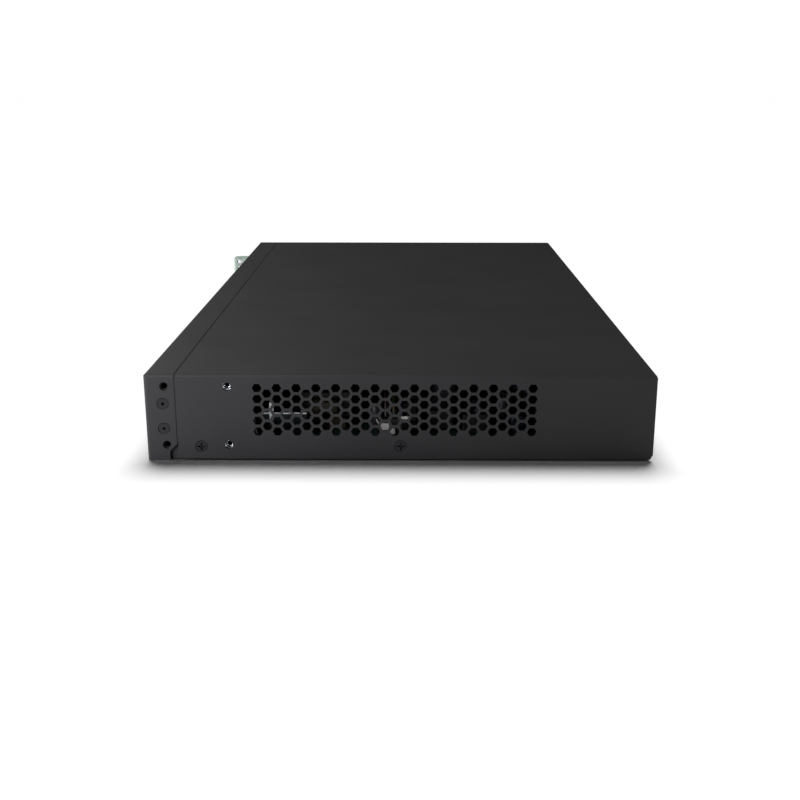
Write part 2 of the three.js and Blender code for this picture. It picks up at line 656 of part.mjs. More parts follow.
/** One of the spokes that hold the motor seat in the duct. */
function fanSpoke(y, index) {
  const { x0, thick, z, duct, spokes, spokeRoot, spokeThick, spokeHalf } = FAN;
  const reach = duct + THROUGH / 2;
  const strip = rectangle([spokeRoot, reach], [-spokeHalf, spokeHalf]);
  const flat = prismGeometry("x", strip, x0 + thick - spokeThick, x0 + thick);
  const turn = new THREE.Matrix4().makeRotationX(Math.PI / 6 + (index * 2 * Math.PI) / spokes);
  return solid(flat.applyMatrix4(turn).translate(0, y, z));
}

/** A fan's hub with its twisted blades and the shaft that runs in the motor seat. */
function fanRotor(y) {
  const { hub, depth, blades, shaft, shaftIn, shaftOut, play } = ROTOR;
  const back = FAN.x0 + FAN.thick - FAN.bossThick - play;
  const front = back - depth;
  const drum = bar("x", [y, FAN.z], hub, front, back, 24);
  const axle = bar("x", [y, FAN.z], shaft, back - shaftIn, back + shaftOut, 12);
  const ring = Array.from({ length: blades }, (_, i) => {
    const angle = (i * 2 * Math.PI) / blades;
    return solid(bladeGeometry((front + back) / 2).rotateX(angle).translate(0, y, FAN.z));
  });
  return join(drum, axle, ...ring);
}

/** One blade reaching along +Y from the axis, pitched more steeply at the root than at the tip. */
function bladeGeometry(x) {
  const { hub, tip, chord, blade, rootPitch, tipPitch, camber } = ROTOR;
  const root = hub - THROUGH;
  const reach = tip - root;
  const shape = new THREE.BoxGeometry(chord, reach, blade, 3, 2, 1);
  const position = shape.attributes.position;
  for (let i = 0; i < position.count; i++) {
    const share = position.getY(i) / reach + 0.5;
    const pitch = THREE.MathUtils.degToRad(rootPitch + (tipPitch - rootPitch) * share);
    const along = position.getX(i);
    const across = position.getZ(i) + camber * (along * along - chord * chord / 4);
    position.setXYZ(
      i,
      x + along * Math.cos(pitch) - across * Math.sin(pitch),
      root + share * reach,
      along * Math.sin(pitch) + across * Math.cos(pitch),
    );
  }
  return shape;
}

/** A fan's lead, from the housing's corner to its header on the main board. */
const fanLead = (y) => wire([
  [FAN.x0 + FAN.thick + 1.2, y + 14, 10], [-190, y + 16, 13], [-182, y + 8, 14.5],
  [-176, y - 6, 13.2], [-172.5, y - 12, 11.2],
], 1, 10);

// ---------------------------------------------------------------- power supply

const HEAT_PLATE = { x: 204.5, thick: 1.5, y0: -71.5, y1: -47, top: 20.4, fold: 10 };
const CLIP = { y: -64.6, width: 2.2, sheet: 0.8, drop: 8, reach: 5.6 };
const TRANSFORMER = {
  x: 184, y: -38, top: 27,
  winding: { x: 13, y: 7, low: 16, sink: 3 }, // half widths, lower level, and how far under the top
  core: { x: 8, y: 13, low: 13.5 },
  bobbin: { x: 11, y: 10, top: 14 },
};
const SECONDARY = { x: 148, y: -30, width: 14, depth: 60, bottom: DECK, top: 32, fins: 4 };
const CAPACITOR = { x: 171, y: 24, radius: 9, rim: 8.5, top: 37.8 };
const CHOKE = { x: 160, y: 62, radius: 11, hole: 5, tall: 13, base: 9, baseTall: 1.5 };
const AC_PLUG = { x0: 199.5, x1: 208.5, y0: -9, y1: 3, top: 18, pitch: 4 };
const LEAD_LANE = 158; // the mains leads run rearwards here, above the board
const GROUND = { x: 146, z: 8, shank: 2, head: 4, length: 6, rim: 1.9, crown: 2.6, chamfer: 1.2, slot: 0.5 };

/** The bent aluminium plate that cools the input-side transistor. */
function primaryHeatsink() {
  const { x, thick, y0, y1, top, fold } = HEAT_PLATE;
  const plate = box([x, x + thick], [y0, y1], [DECK, top]);
  return join(plate, box([x - fold, x + thick], [y0, y0 + thick], [DECK, top]));
}

/** The spring clip over the plate's top edge. */
function heatsinkClip() {
  const { x, thick, top } = HEAT_PLATE;
  const { y, width, sheet, drop, reach } = CLIP;
  const [inner, outer] = [x - GAP, x + thick + GAP];
  const arch = outline([
    [top - drop, inner - sheet], [top - drop, inner], [top + GAP, inner], [top + GAP, outer],
    [top - drop, outer], [top - drop, outer + sheet],
    [top + reach, outer + sheet], [top + reach, inner - sheet],
  ]);
  return prism("y", arch, y - width / 2, y + width / 2);
}

/** The transformer: a taped winding through a ferrite core, on its bobbin. */
function transformer() {
  const { x, y, top, winding, core, bobbin } = TRANSFORMER;
  const around = (half, low, high) => box([x - half.x, x + half.x], [y - half.y, y + half.y], [low, high]);
  return join(
    around(core, core.low, top),
    around(winding, winding.low, top - winding.sink),
    around(bobbin, DECK, bobbin.top),
  );
}

/** The large capacitor, upright, with the crimp above its foot. */
function capacitor() {
  const { x, y, radius, rim, top } = CAPACITOR;
  const foot = DECK + REST;
  const profile = [
    [0, foot], [radius - 0.4, foot], [radius, foot + 1.2], [rim, foot + 2.2], [radius, foot + 3.2],
    [radius, top - 0.8], [rim, top], [0, top],
  ];
  return turned("z", [x, y, 0], profile, 24);
}

/** The ring choke on its base. */
function choke() {
  const { x, y, radius, hole, tall, base, baseTall } = CHOKE;
  const ring = bar("z", [x, y], radius, DECK + 1, DECK + tall, 24);
  const foot = box([x - base, x + base], [y - base, y + base], [DECK, DECK + baseTall]);
  return cut(join(ring, foot), bar("z", [x, y], hole, DECK + 2.5, DECK + tall + THROUGH, 16));
}

/** The places of the plug's three entries, as Y. */
const plugEntries = () => [-1, 0, 1].map((step) => (AC_PLUG.y0 + AC_PLUG.y1) / 2 + step * AC_PLUG.pitch);

/** The white three-way plug that brings the mains onto the board. */
function supplyPlug() {
  const { x0, x1, y0, y1, top } = AC_PLUG;
  const body = box([x0, x1], [y0, y1], [DECK, top]);
  const entries = plugEntries().map((y) =>
    box([x0 + 2, x1 - 3], [y - 1.3, y + 1.3], [top - 4, top + THROUGH]),
  );
  const ribs = plugEntries().map((y) => box([x1 - REST, x1 + 0.7], [y - 0.6, y + 0.6], [DECK + 2, top - 2]));
  return join(cut(body, ...entries), ...ribs);
}

/** The mains inlet: flange outside the rear wall, socket and body inside. */
function powerInlet() {
  const { x, z, width, height, flangeW, flangeH, flange, flangeCorner, depth, socket, blade } = INLET;
  const throughWall = rectangle([z - height / 2, z + height / 2], [x - width / 2, x + width / 2]);
  const body = prism("y", throughWall, REAR_FACE - depth, REAR_FACE + 0.5);
  const corners = [flangeCorner, flangeCorner, flangeCorner, flangeCorner];
  const rim = rectangle([z - flangeH / 2, z + flangeH / 2], [x - flangeW / 2, x + flangeW / 2], corners);
  const plate = prism("y", rim, REAR_FACE, REAR_FACE + flange);
  const { halfX, halfZ, corner } = socket;
  const mouth = outline([
    [z - halfZ, x - halfX], [z + halfZ - corner, x - halfX], [z + halfZ, x - halfX + corner],
    [z + halfZ, x + halfX - corner], [z + halfZ - corner, x + halfX], [z - halfZ, x + halfX],
  ]);
  const [slotX, slotZ] = [blade.halfX + GAP, blade.halfZ + GAP];
  const slots = inletPins().map(([px, pz]) => rectangle([pz - slotZ, pz + slotZ], [px - slotX, px + slotX]));
  return cut(
    join(body, plate),
    prism("y", mouth, REAR_FACE + flange - socket.depth, REAR_FACE + flange + THROUGH),
    prism("y", slots, REAR_FACE - depth - THROUGH, REAR_FACE),
  );
}

/** Where the earth, live and neutral blades stand, as X, Z. */
function inletPins() {
  const { x, z } = INLET;
  return [[x, z + 2.5], [x - 7, z - 1.5], [x + 7, z - 1.5]];
}

/** One blade: a contact in the socket and a tab behind the body. */
function inletPin([x, z]) {
  const { halfX, halfZ, tip, tab, tabHalf } = INLET.blade;
  const end = REAR_FACE - INLET.depth;
  return join(
    box([x - halfX, x + halfX], [end, REAR_FACE - tip], [z - halfZ, z + halfZ]),
    box([x - tabHalf, x + tabHalf], [end - tab, end + THROUGH], [z - halfZ, z + halfZ]),
  );
}

/** A mains lead from an inlet blade to one entry of the supply's white plug. */
function mainsLead(pin, entry) {
  const [x, z] = inletPins()[pin];
  const tab = REAR_FACE - INLET.depth - INLET.blade.tab;
  const plugX = (AC_PLUG.x0 + AC_PLUG.x1 - 1) / 2;
  const plugY = plugEntries()[entry + 1];
  const level = 28 - entry * 3.2;
  return wire([
    [x, tab - 0.5, z], [x, tab - 5, z + 0.5], [x - 5, tab - 16 - entry * 6, (z + level) / 2],
    [LEAD_LANE, 58 - entry * 8, level], [LEAD_LANE, 16, level],
    [LEAD_LANE + 7, plugY + 6, level], [plugX - 12, plugY, level - 1],
    [plugX - 1, plugY, 22], [plugX, plugY, AC_PLUG.top - 3.4],
  ], 1, 20);
}

/** The low-voltage leads from the supply to the main board, tied into one bundle. */
const supplyHarness = () => wire([
  [142, -68, 13], [138, -69.5, 18], [130, -70.5, 20.5], [121, -70, 18], [117, -69.5, 13],
], 2.6, 12);

/** The earthing screw on the rear wall. */
function groundScrew() {
  const { x, z, shank, head, length, rim, crown, chamfer, slot } = GROUND;
  const profile = [
    [0, REAR_FACE - length], [shank, REAR_FACE - length], [shank, REAR_FACE], [head, REAR_FACE],
    [head, REAR_FACE + rim], [head - chamfer, REAR_FACE + crown], [0, REAR_FACE + crown],
  ];
  const body = turned("y", [x, 0, z], profile, 18);
  const across = [x - head - THROUGH, x + head + THROUGH];
  const deep = [REAR_FACE + rim - 0.2, REAR_FACE + crown + THROUGH];
  return cut(body, box(across, deep, [z - slot, z + slot]));
}

/** A pan-head screw through the cover's rear lip. */
function rearScrew(x) {
  const { z, length, head, rim, crown, slot } = REAR_SCREW;
  const face = REAR + REST;
  const profile = [
    [0, face - length], [SCREW.shank, face - length], [SCREW.shank, face], [head, face],
    [head, face + rim], [head - 1, face + crown], [0, face + crown],
  ];
  const body = turned("y", [x, 0, z], profile, ROUND_SIDES);
  const reach = head - 1;
  const arms = [[reach, slot], [slot, reach]].map(([halfX, halfZ]) =>
    box([x - halfX, x + halfX], [face + rim - 0.2, face + crown + THROUGH], [z - halfZ, z + halfZ]),
  );
  return cut(body, ...arms);
}

// ---------------------------------------------------------------- finishes

const finish = (color, roughness, metalness = 0) =>
  new THREE.MeshStandardMaterial({ color, roughness, metalness });

const FINISH = {
  blackSteel: finish(0x343436, 0.62, 0.1),
  zinc: finish(0xc9ccce, 0.35, 1),
  blackScrew: finish(0x232327, 0.5, 0.6),
  nickel: finish(0xb9b6ae, 0.3, 1),
  laminate: finish(0x1d4a36, 0.45),
  blackPlastic: finish(0x1b1b1d, 0.5),
  chip: finish(0x202022, 0.6),
  aluminium: finish(0xb4b6b8, 0.4, 1),
  paleTerminal: finish(0xb9cdc2, 0.5),
  clearPlastic: finish(0xe6ebe8, 0.2),
  tape: finish(0xa58a34, 0.5),
  sleeve: finish(0x26303f, 0.35),
  copper: finish(0xa4643a, 0.4, 0.8),
  whiteNylon: finish(0xe9e8e0, 0.5),
  liveWire: finish(0x4a2f22, 0.5),
  neutralWire: finish(0x2a4a7d, 0.5),
  earthWire: finish(0x5a8a3a, 0.5),
  darkWire: finish(0x1a1a1a, 0.55),
};

// ---------------------------------------------------------------- assembly

const assembly = new THREE.Group();

/** Adds one named piece to the assembly. */
function add(name, body, material) {
  const mesh = new THREE.Mesh(geometryOf(body), material);
  mesh.name = name;
  assembly.add(mesh);
}

add("chassis_base", chassisBase(), FINISH.blackSteel);
add("top_cover", topCover(), FINISH.blackSteel);
add("front_panel", frontPanel(), FINISH.blackSteel);

for (const [place, at] of Object.entries(SIDE_SCREWS)) {
  add(`cover_screw_right_${place}`, sideScrew(at), FINISH.blackScrew);
  add(`cover_screw_left_${place}`, mirrored(sideScrew(at)), FINISH.blackScrew);
}
for (const [level, z] of [["upper", PANEL_SCREWS.upperZ], ["lower", PANEL_SCREWS.lowerZ]]) {
  add(`panel_screw_right_${level}`, panelScrew(z), FINISH.blackScrew);
  add(`panel_screw_left_${level}`, mirrored(panelScrew(z)), FINISH.blackScrew);
}
REAR_SCREW.x.forEach((x, i) => add(`rear_screw_${i + 1}`, rearScrew(x), FINISH.blackScrew));
for (const [level, z] of [["lower", EAR_HOLE.lowZ], ["upper", EAR_HOLE.highZ]]) {
  add(`ear_nut_right_${level}`, earNut(z), FINISH.zinc);
  add(`ear_nut_left_${level}`, mirrored(earNut(z)), FINISH.zinc);
}

add("main_board", board(MAIN_BOARD), FINISH.laminate);
add("switch_chip", switchChip(), FINISH.chip);
add("switch_heatsink", heatsink(CHIP_SINK), FINISH.aluminium);
PORT_SINK_X.forEach((x, i) => {
  add(`port_chip_heatsink_${i + 1}`, heatsink({ ...PORT_SINK, x }), FINISH.aluminium);
});
add("jack_block_left", jackBlock(JACK_BLOCKS.left), FINISH.nickel);
add("jack_block_right", jackBlock(JACK_BLOCKS.right), FINISH.nickel);
add("console_jack", consoleJack(), FINISH.blackPlastic);
add("optical_cage_bank", cageBank(), FINISH.nickel);
add("status_light_pipe", statusLightPipe(), FINISH.clearPlastic);
add("uplink_light_pipe", uplinkLightPipe(), FINISH.clearPlastic);
add("reset_switch", resetSwitch(), FINISH.blackPlastic);
add("reset_button", resetButton(), FINISH.whiteNylon);

add("terminal_board", terminalBoard(), FINISH.laminate);
add("terminal_header", terminalHeader(), FINISH.paleTerminal);
add("terminal_plug", terminalPlug(), FINISH.paleTerminal);
poleHeights().forEach((z, i) => add(`terminal_screw_${i + 1}`, terminalScrew(z), FINISH.zinc));

for (const [place, y] of Object.entries(FAN.centres)) {
  add(`fan_frame_${place}`, fanFrame(y), FINISH.blackPlastic);
  add(`fan_rotor_${place}`, fanRotor(y), FINISH.blackPlastic);
  add(`fan_lead_${place}`, fanLead(y), FINISH.darkWire);
}

add("supply_board", board(SUPPLY_BOARD), FINISH.laminate);
add("supply_heatsink_input", primaryHeatsink(), FINISH.aluminium);
add("heatsink_clip", heatsinkClip(), FINISH.zinc);
add("supply_transformer", transformer(), FINISH.tape);
add("supply_heatsink_output", heatsink(SECONDARY), FINISH.aluminium);
add("supply_capacitor", capacitor(), FINISH.sleeve);
add("supply_choke", choke(), FINISH.copper);
add("supply_plug", supplyPlug(), FINISH.whiteNylon);
add("supply_harness", supplyHarness(), FINISH.darkWire);

add("power_inlet", powerInlet(), FINISH.blackPlastic);
["earth", "live", "neutral"].forEach((name, i) => {
  add(`inlet_pin_${name}`, inletPin(inletPins()[i]), FINISH.nickel);
});
add("lead_live", mainsLead(1, -1), FINISH.liveWire);
add("lead_earth", mainsLead(0, 0), FINISH.earthWire);
add("lead_neutral", mainsLead(2, 1), FINISH.neutralWire);
add("ground_screw", groundScrew(), FINISH.zinc);

export default assembly;
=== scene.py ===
"""A one-unit rackmount network switch: folded steel case, sockets, supply and fans, in a pale studio.

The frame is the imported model's: +X along the front panel, +Y to the rear, +Z up. Places are in metres. The
sizes of shapes are in millimetres where they aren't multiplied by MM.
"""

import json
import logging
import math
import random
from dataclasses import dataclass
from enum import Enum
from functools import cache
from itertools import product
from typing import Callable, Iterable, Optional, Sequence, Union

import bmesh
import bpy
from mathutils import Matrix, Vector

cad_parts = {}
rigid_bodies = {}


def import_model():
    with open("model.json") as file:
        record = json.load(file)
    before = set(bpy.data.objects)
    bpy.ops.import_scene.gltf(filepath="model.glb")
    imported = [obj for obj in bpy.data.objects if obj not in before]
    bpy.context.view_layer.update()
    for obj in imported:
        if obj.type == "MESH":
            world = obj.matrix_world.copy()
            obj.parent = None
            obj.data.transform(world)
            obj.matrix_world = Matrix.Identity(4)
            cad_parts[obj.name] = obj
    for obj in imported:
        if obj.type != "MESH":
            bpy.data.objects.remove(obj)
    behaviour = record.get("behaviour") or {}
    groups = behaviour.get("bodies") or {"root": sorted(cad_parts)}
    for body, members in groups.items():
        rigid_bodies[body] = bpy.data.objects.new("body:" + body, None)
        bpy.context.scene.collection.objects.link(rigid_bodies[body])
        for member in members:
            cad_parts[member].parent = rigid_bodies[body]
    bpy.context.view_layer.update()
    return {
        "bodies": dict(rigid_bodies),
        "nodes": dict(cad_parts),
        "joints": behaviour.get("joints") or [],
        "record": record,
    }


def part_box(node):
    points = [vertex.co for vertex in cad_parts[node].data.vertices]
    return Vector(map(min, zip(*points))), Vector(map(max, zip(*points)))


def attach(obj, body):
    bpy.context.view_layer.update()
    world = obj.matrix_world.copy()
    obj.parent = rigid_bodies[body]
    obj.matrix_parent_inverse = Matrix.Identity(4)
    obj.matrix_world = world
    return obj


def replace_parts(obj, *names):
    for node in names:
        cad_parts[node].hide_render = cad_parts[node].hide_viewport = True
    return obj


MM = 0.001
SWITCH = "switch"  # the body that everything fixed rides on

Rgb = tuple[float, float, float]
Point = Sequence[float]

log = logging.getLogger("rack_switch")


# ------------------------------------------------------------------ shader bench


class Tone:
    """A shader socket that takes part in Python arithmetic; each operation adds one Math node."""

    def __init__(self, bench: "Bench", socket: bpy.types.NodeSocket) -> None:
        """Keeps the socket with the bench that it belongs to."""
        self.bench = bench
        self.socket = socket

    def _math(self, operation: str, first: "Value", second: "Value") -> "Tone":
        """Adds a Math node.

        Args:
            operation: The Math node's operation.
            first: Its first value.
            second: Its second value.

        Returns:
            The node's result.
        """
        return self.bench.node("ShaderNodeMath", {"operation": operation}, {0: first, 1: second})

    def __add__(self, other: "Value") -> "Tone":
        """Adds."""
        return self._math("ADD", self, other)

    def __radd__(self, other: "Value") -> "Tone":
        """Adds, reflected."""
        return self._math("ADD", other, self)

    def __sub__(self, other: "Value") -> "Tone":
        """Subtracts."""
        return self._math("SUBTRACT", self, other)

    def __rsub__(self, other: "Value") -> "Tone":
        """Subtracts, reflected."""
        return self._math("SUBTRACT", other, self)

    def __mul__(self, other: "Value") -> "Tone":
        """Multiplies."""
        return self._math("MULTIPLY", self, other)

    def __rmul__(self, other: "Value") -> "Tone":
        """Multiplies, reflected."""
        return self._math("MULTIPLY", other, self)

    def __gt__(self, limit: float) -> "Tone":
        """One where the value is above the limit, zero elsewhere."""
        return self._math("GREATER_THAN", self, limit)

    def __mod__(self, period: float) -> "Tone":
        """The remainder after division, never below zero."""
        return self._math("FLOORED_MODULO", self, period)

    def between(self, low: float, high: float) -> "Tone":
        """Rises from 0 to 1 as the value goes from low to high.

        Args:
            low: Where the result leaves 0.
            high: Where the result reaches 1.

        Returns:
            The clamped result.
        """
        inputs = {"Value": self, "From Min": low, "From Max": high}
        return self.bench.node("ShaderNodeMapRange", {"clamp": True}, inputs)


Value = Union[float, Tone]


class Bench:
    """Builds one shader tree out of a few procedural patterns."""

    def __init__(self, owner: Union[bpy.types.Material, bpy.types.World]) -> None:
        """Empties the owner's tree.

        Args:
            owner: The material or the world that the tree is for.
        """
        owner.use_nodes = True
        self.tree = owner.node_tree
        self.tree.nodes.clear()
        self.here = self.node("ShaderNodeTexCoord", {}, {}, "Object")

    def node(self, kind: str, settings: dict, inputs: dict, output: Union[int, str] = 0) -> Tone:
        """Adds a node of any type: its settings first, then its sockets.

        Args:
            kind: The node's type.
            settings: Attribute names to values.
            inputs: Socket names or indices to plain values or links.
            output: The output that is wanted.

        Returns:
            The wanted output.
        """
        made = self.tree.nodes.new(kind)
        for key, value in settings.items():
            setattr(made, key, value)
        for key, value in inputs.items():
            if isinstance(value, Tone):
                self.tree.links.new(value.socket, made.inputs[key])
            else:
                made.inputs[key].default_value = value
        return Tone(self, made.outputs[output])

    def end(self, shader: Tone, kind: str = "ShaderNodeOutputMaterial") -> None:
        """Ends the tree in its output."""
        self.tree.links.new(shader.socket, self.tree.nodes.new(kind).inputs[0])

    def noise(self, grain: float, detail: float = 2.0, stretch: Point = (1, 1, 1)) -> Tone:
        """Soft noise.

        Args:
            grain: The size of its features, in millimetres.
            detail: How many finer octaves it has.
            stretch: How many times finer it gets along each axis.

        Returns:
            A value round 0.5.
        """
        inputs = {0: self.here, 1: tuple(stretch)}
        where = self.node("ShaderNodeVectorMath", {"operation": "MULTIPLY"}, inputs)
        inputs = {"Vector": where, "Scale": 1.0 / (grain * MM), "Detail": detail}
        return self.node("ShaderNodeTexNoise", {}, inputs)

    def cells(self, grain: float, output: str = "Distance") -> Tone:
        """A cell pattern.

        Args:
            grain: The size of a cell, in millimetres.
            output: Which output is wanted.

        Returns:
            The pattern.
        """
        inputs = {"Vector": self.here, "Scale": 1.0 / (grain * MM)}
        return self.node("ShaderNodeTexVoronoi", {"feature": "F1"}, inputs, output)

    def along(self, axis: str) -> Tone:
        """The object's coordinate along one axis, in metres."""
        return self.node("ShaderNodeSeparateXYZ", {}, {0: self.here}, axis)

    def mix(self, share: Value, first: Union[Rgb, Tone], second: Union[Rgb, Tone]) -> Tone:
        """Mixes two colours.

        Args:
            share: How much of the second colour there is.
            first: The first colour.
            second: The second colour.

        Returns:
            The mixed colour.
        """
        ends = [c if isinstance(c, Tone) else (*c, 1.0) for c in (first, second)]
        inputs = {0: share, 6: ends[0], 7: ends[1]}
        return self.node("ShaderNodeMix", {"data_type": "RGBA"}, inputs, 2)

    def tint(self, share: Value, colour: Rgb, dark: float, pale: float) -> Tone:
        """Mixes a darker and a paler shade of one colour.

        Args:
            share: How much of the paler shade there is.
            colour: The colour.
            dark: What the darker shade multiplies it by.
            pale: What the paler shade multiplies it by.

        Returns:
            The mixed colour.
        """
        return self.mix(share, shade(colour, dark), shade(colour, pale))

    def bump(self, height: Tone, depth: float, strength: float = 1.0) -> Tone:
        """A bumped normal.

        Args:
            height: The height pattern, from 0 to 1.
            depth: How high 1 stands, in millimetres.
            strength: How much of the bump is kept.

        Returns:
            The normal.
        """
        inputs = {"Height": height, "Distance": depth * MM, "Strength": strength}
        return self.node("ShaderNodeBump", {}, inputs, "Normal")


def shade(colour: Rgb, factor: float) -> Rgb:
    """The colour made lighter or darker by a factor."""
    return tuple(min(1.0, channel * factor) for channel in colour)


# ------------------------------------------------------------------ finishes


@dataclass(frozen=True)
class Coat:
    """A finish of one main colour; each kind says what feeds the shader."""

    colour: Rgb

    def make(self, name: str) -> bpy.types.Material:
        """Builds the material.

        Args:
            name: Its name.

        Returns:
            The material.
        """
        material = bpy.data.materials.new(name)
        bench = Bench(material)
        bench.end(bench.node("ShaderNodeBsdfPrincipled", {}, self.sockets(bench)))
        return material

    def sockets(self, bench: Bench) -> dict[str, Value]:
        """What feeds the shader: the names of its sockets, with their values."""
        raise NotImplementedError


@dataclass(frozen=True)
class PowderCoat(Coat):
    """Black powder coat on sheet steel: fine orange peel, faint patches and a few pale specks of dust."""

    roughness: float = 0.5
    peel: float = 0.6
    sheen: float = 0.2

    def sockets(self, bench: Bench) -> dict[str, Value]:
        """What feeds the shader.

        Args:
            bench: Where the nodes go.

        Returns:
            The names of the shader's sockets, with their values.
        """
        patches = bench.noise(45, 3)
        peel = bench.noise(self.peel)
        speck = bench.cells(6).between(0.045, 0.02)
        coat = bench.tint(patches.between(0.3, 0.7), self.colour, 0.93, 1.08)
        return {
            "Base Color": bench.mix(speck * 0.05, coat, (0.4, 0.4, 0.4)),
            "Roughness": self.roughness + 0.1 * patches + 0.06 * peel - 0.08,
            "Normal": bench.bump(peel, 0.012),
            "Specular IOR Level": self.sheen,
        }


@dataclass(frozen=True)
class Plate(Coat):
    """Plated metal: faint drawn streaks, cloudy patches and duller spots."""

    roughness: float = 0.3
    streak: Point = (1, 1, 1)

    def sockets(self, bench: Bench) -> dict[str, Value]:
        """What feeds the shader.

        Args:
            bench: Where the nodes go.

        Returns:
            The names of the shader's sockets, with their values.
        """
        streaks = bench.noise(0.9, 3, self.streak)
        clouds = bench.noise(7, 3)
        return {
            "Base Color": bench.tint(clouds.between(0.35, 0.65), self.colour, 0.86, 1.08),
            "Metallic": 1.0,
            "Roughness": self.roughness + 0.18 * clouds + 0.1 * streaks - 0.14,
            "Normal": bench.bump(streaks, 0.01, 0.6),
        }


@dataclass(frozen=True)
class Moulding(Coat):
    """Moulded plastic: spark-eroded texture, a slow drift of colour and slightly glossier patches."""

    roughness: float = 0.45
    drift: float = 0.12

    def sockets(self, bench: Bench) -> dict[str, Value]:
        """What feeds the shader.

        Args:
            bench: Where the nodes go.

        Returns:
            The names of the shader's sockets, with their values.
        """
        flow = bench.noise(9, 3)
        return {
            "Base Color": bench.tint(flow, self.colour, 1 - self.drift, 1 + self.drift),
            "Roughness": self.roughness + 0.16 * flow - 0.08,
            "Normal": bench.bump(bench.noise(0.35), 0.015, 0.7),
            "Specular IOR Level": 0.4,
        }


@dataclass(frozen=True)
class ClearMoulding(Coat):
    """Clear plastic that guides light, with a faint haze."""

    def sockets(self, bench: Bench) -> dict[str, Value]:
        """What feeds the shader.

        Args:
            bench: Where the nodes go.

        Returns:
            The names of the shader's sockets, with their values.
        """
        haze = bench.noise(3)
        return {
            "Base Color": bench.tint(haze, self.colour, 0.9, 1),
            "Roughness": 0.06 + 0.16 * haze,
            "Transmission Weight": 0.7,
            "IOR": 1.49,
        }


@dataclass(frozen=True)
class Laminate(Coat):
    """A circuit board: solder resist over copper tracks, and plated holes."""

    # painted shade: the tracks' green is darkened, for the shade inside the case
    track: Rgb = (0.01, 0.06, 0.035)
    pad: Rgb = (0.42, 0.4, 0.33)

    def sockets(self, bench: Bench) -> dict[str, Value]:
        """What feeds the shader.

        Args:
            bench: Where the nodes go.

        Returns:
            The names of the shader's sockets, with their values.
        """
        zone = bench.cells(24, "Color")
        turn = bench.node("ShaderNodeSeparateXYZ", {}, {0: zone}, "X") > 0.5
        across, down = ((bench.along(axis) % (1.4 * MM)) > 0.9 * MM for axis in "XY")
        busy = bench.noise(18).between(0.5, 0.54)
        copper = (turn * across + (1 - turn) * down) * busy
        holes = bench.cells(5).between(0.1, 0.07)
        weave = bench.noise(0.5, 1)
        return {
            "Base Color": bench.mix(holes, bench.mix(copper, self.colour, self.track), self.pad),
            "Roughness": 0.28 + 0.14 * weave + 0.1 * busy,
            "Metallic": holes * 0.9,
            "Normal": bench.bump(copper * 0.7 + weave * 0.2, 0.03),
        }


@dataclass(frozen=True)
class WoundTape(Coat):
    """Yellow polyester tape wound in overlapping turns."""

    turn: float = 2.3 * MM

    def sockets(self, bench: Bench) -> dict[str, Value]:
        """What feeds the shader.

        Args:
            bench: Where the nodes go.

        Returns:
            The names of the shader's sockets, with their values.
        """
        lap = bench.along("Z") % self.turn
        step = lap.between(0, self.turn)
        # painted shade: a dark line at the step where each turn of tape laps over the last
        edge = lap.between(0.25 * MM, 0)
        crease_and_shade = bench.noise(2, 3, (1, 1, 4))
        # painted shade: the tape's tone is darker where the creases sink
        tint = bench.tint(crease_and_shade, self.colour, 0.75, 1.15)
        return {
            "Base Color": bench.mix(edge * 0.6, tint, shade(self.colour, 0.4)),
            "Roughness": 0.3 + 0.25 * crease_and_shade,
            "Normal": bench.bump(step + crease_and_shade * 0.4, 0.09),
        }


@dataclass(frozen=True)
class CopperWinding(Coat):
    """Enamelled copper wire, wound side by side."""

    wire: float = 0.9 * MM

    def sockets(self, bench: Bench) -> dict[str, Value]:
        """What feeds the shader.

        Args:
            bench: Where the nodes go.

        Returns:
            The names of the shader's sockets, with their values.
        """
        settings = {"wave_type": "BANDS", "bands_direction": "X"}
        inputs = {"Vector": bench.here, "Scale": 0.32 / self.wire, "Distortion": 1.5}
        bands = bench.node("ShaderNodeTexWave", settings, inputs)
        return {
            # painted shade: the colour is darker in the grooves between the turns
            "Base Color": bench.tint(bands, self.colour, 0.3, 1),
            "Metallic": 0.85,
            "Roughness": 0.26 + 0.2 * bench.noise(3),
            "Normal": bench.bump(bands, 0.3),
        }


@dataclass(frozen=True)
class Sleeve(Coat):
    """A shrunk sleeve: glossy, slightly wrinkled, paler where it is stretched."""

    def sockets(self, bench: Bench) -> dict[str, Value]:
        """What feeds the shader.

        Args:
            bench: Where the nodes go.

        Returns:
            The names of the shader's sockets, with their values.
        """
        wrinkle = bench.noise(4, 3, (1, 1, 0.3))
        return {
            "Base Color": bench.tint(wrinkle, self.colour, 0.8, 1.5),
            "Roughness": 0.42 + 0.2 * wrinkle,
            "Normal": bench.bump(wrinkle, 0.08),
        }


@dataclass(frozen=True)
class Insulation(Coat):
    """Wire insulation, with an optional stripe of a second colour."""

    stripe: Optional[Rgb] = None

    def sockets(self, bench: Bench) -> dict[str, Value]:
        """What feeds the shader.

        Args:
            bench: Where the nodes go.

        Returns:
            The names of the shader's sockets, with their values.
        """
        flow = bench.noise(3)
        tint = bench.tint(flow, self.colour, 0.85, 1.15)
        if self.stripe:
            winding = (bench.along("Y") + bench.along("Z")) % (5 * MM)
            tint = bench.mix(winding > 2.4 * MM, tint, self.stripe)
        return {
            "Base Color": tint,
            "Roughness": 0.36 + 0.2 * flow,
            "Normal": bench.bump(flow, 0.03),
        }


@dataclass(frozen=True)
class Paper(Coat):
    """The pale studio floor: matt paper with the faintest tooth."""

    def sockets(self, bench: Bench) -> dict[str, Value]:
        """What feeds the shader.

        Args:
            bench: Where the nodes go.

        Returns:
            The names of the shader's sockets, with their values.
        """
        tooth = bench.noise(2)
        return {
            "Base Color": bench.tint(tooth, self.colour, 0.99, 1),
            "Roughness": 0.8 + 0.1 * tooth,
            "Specular IOR Level": 0.1,
        }


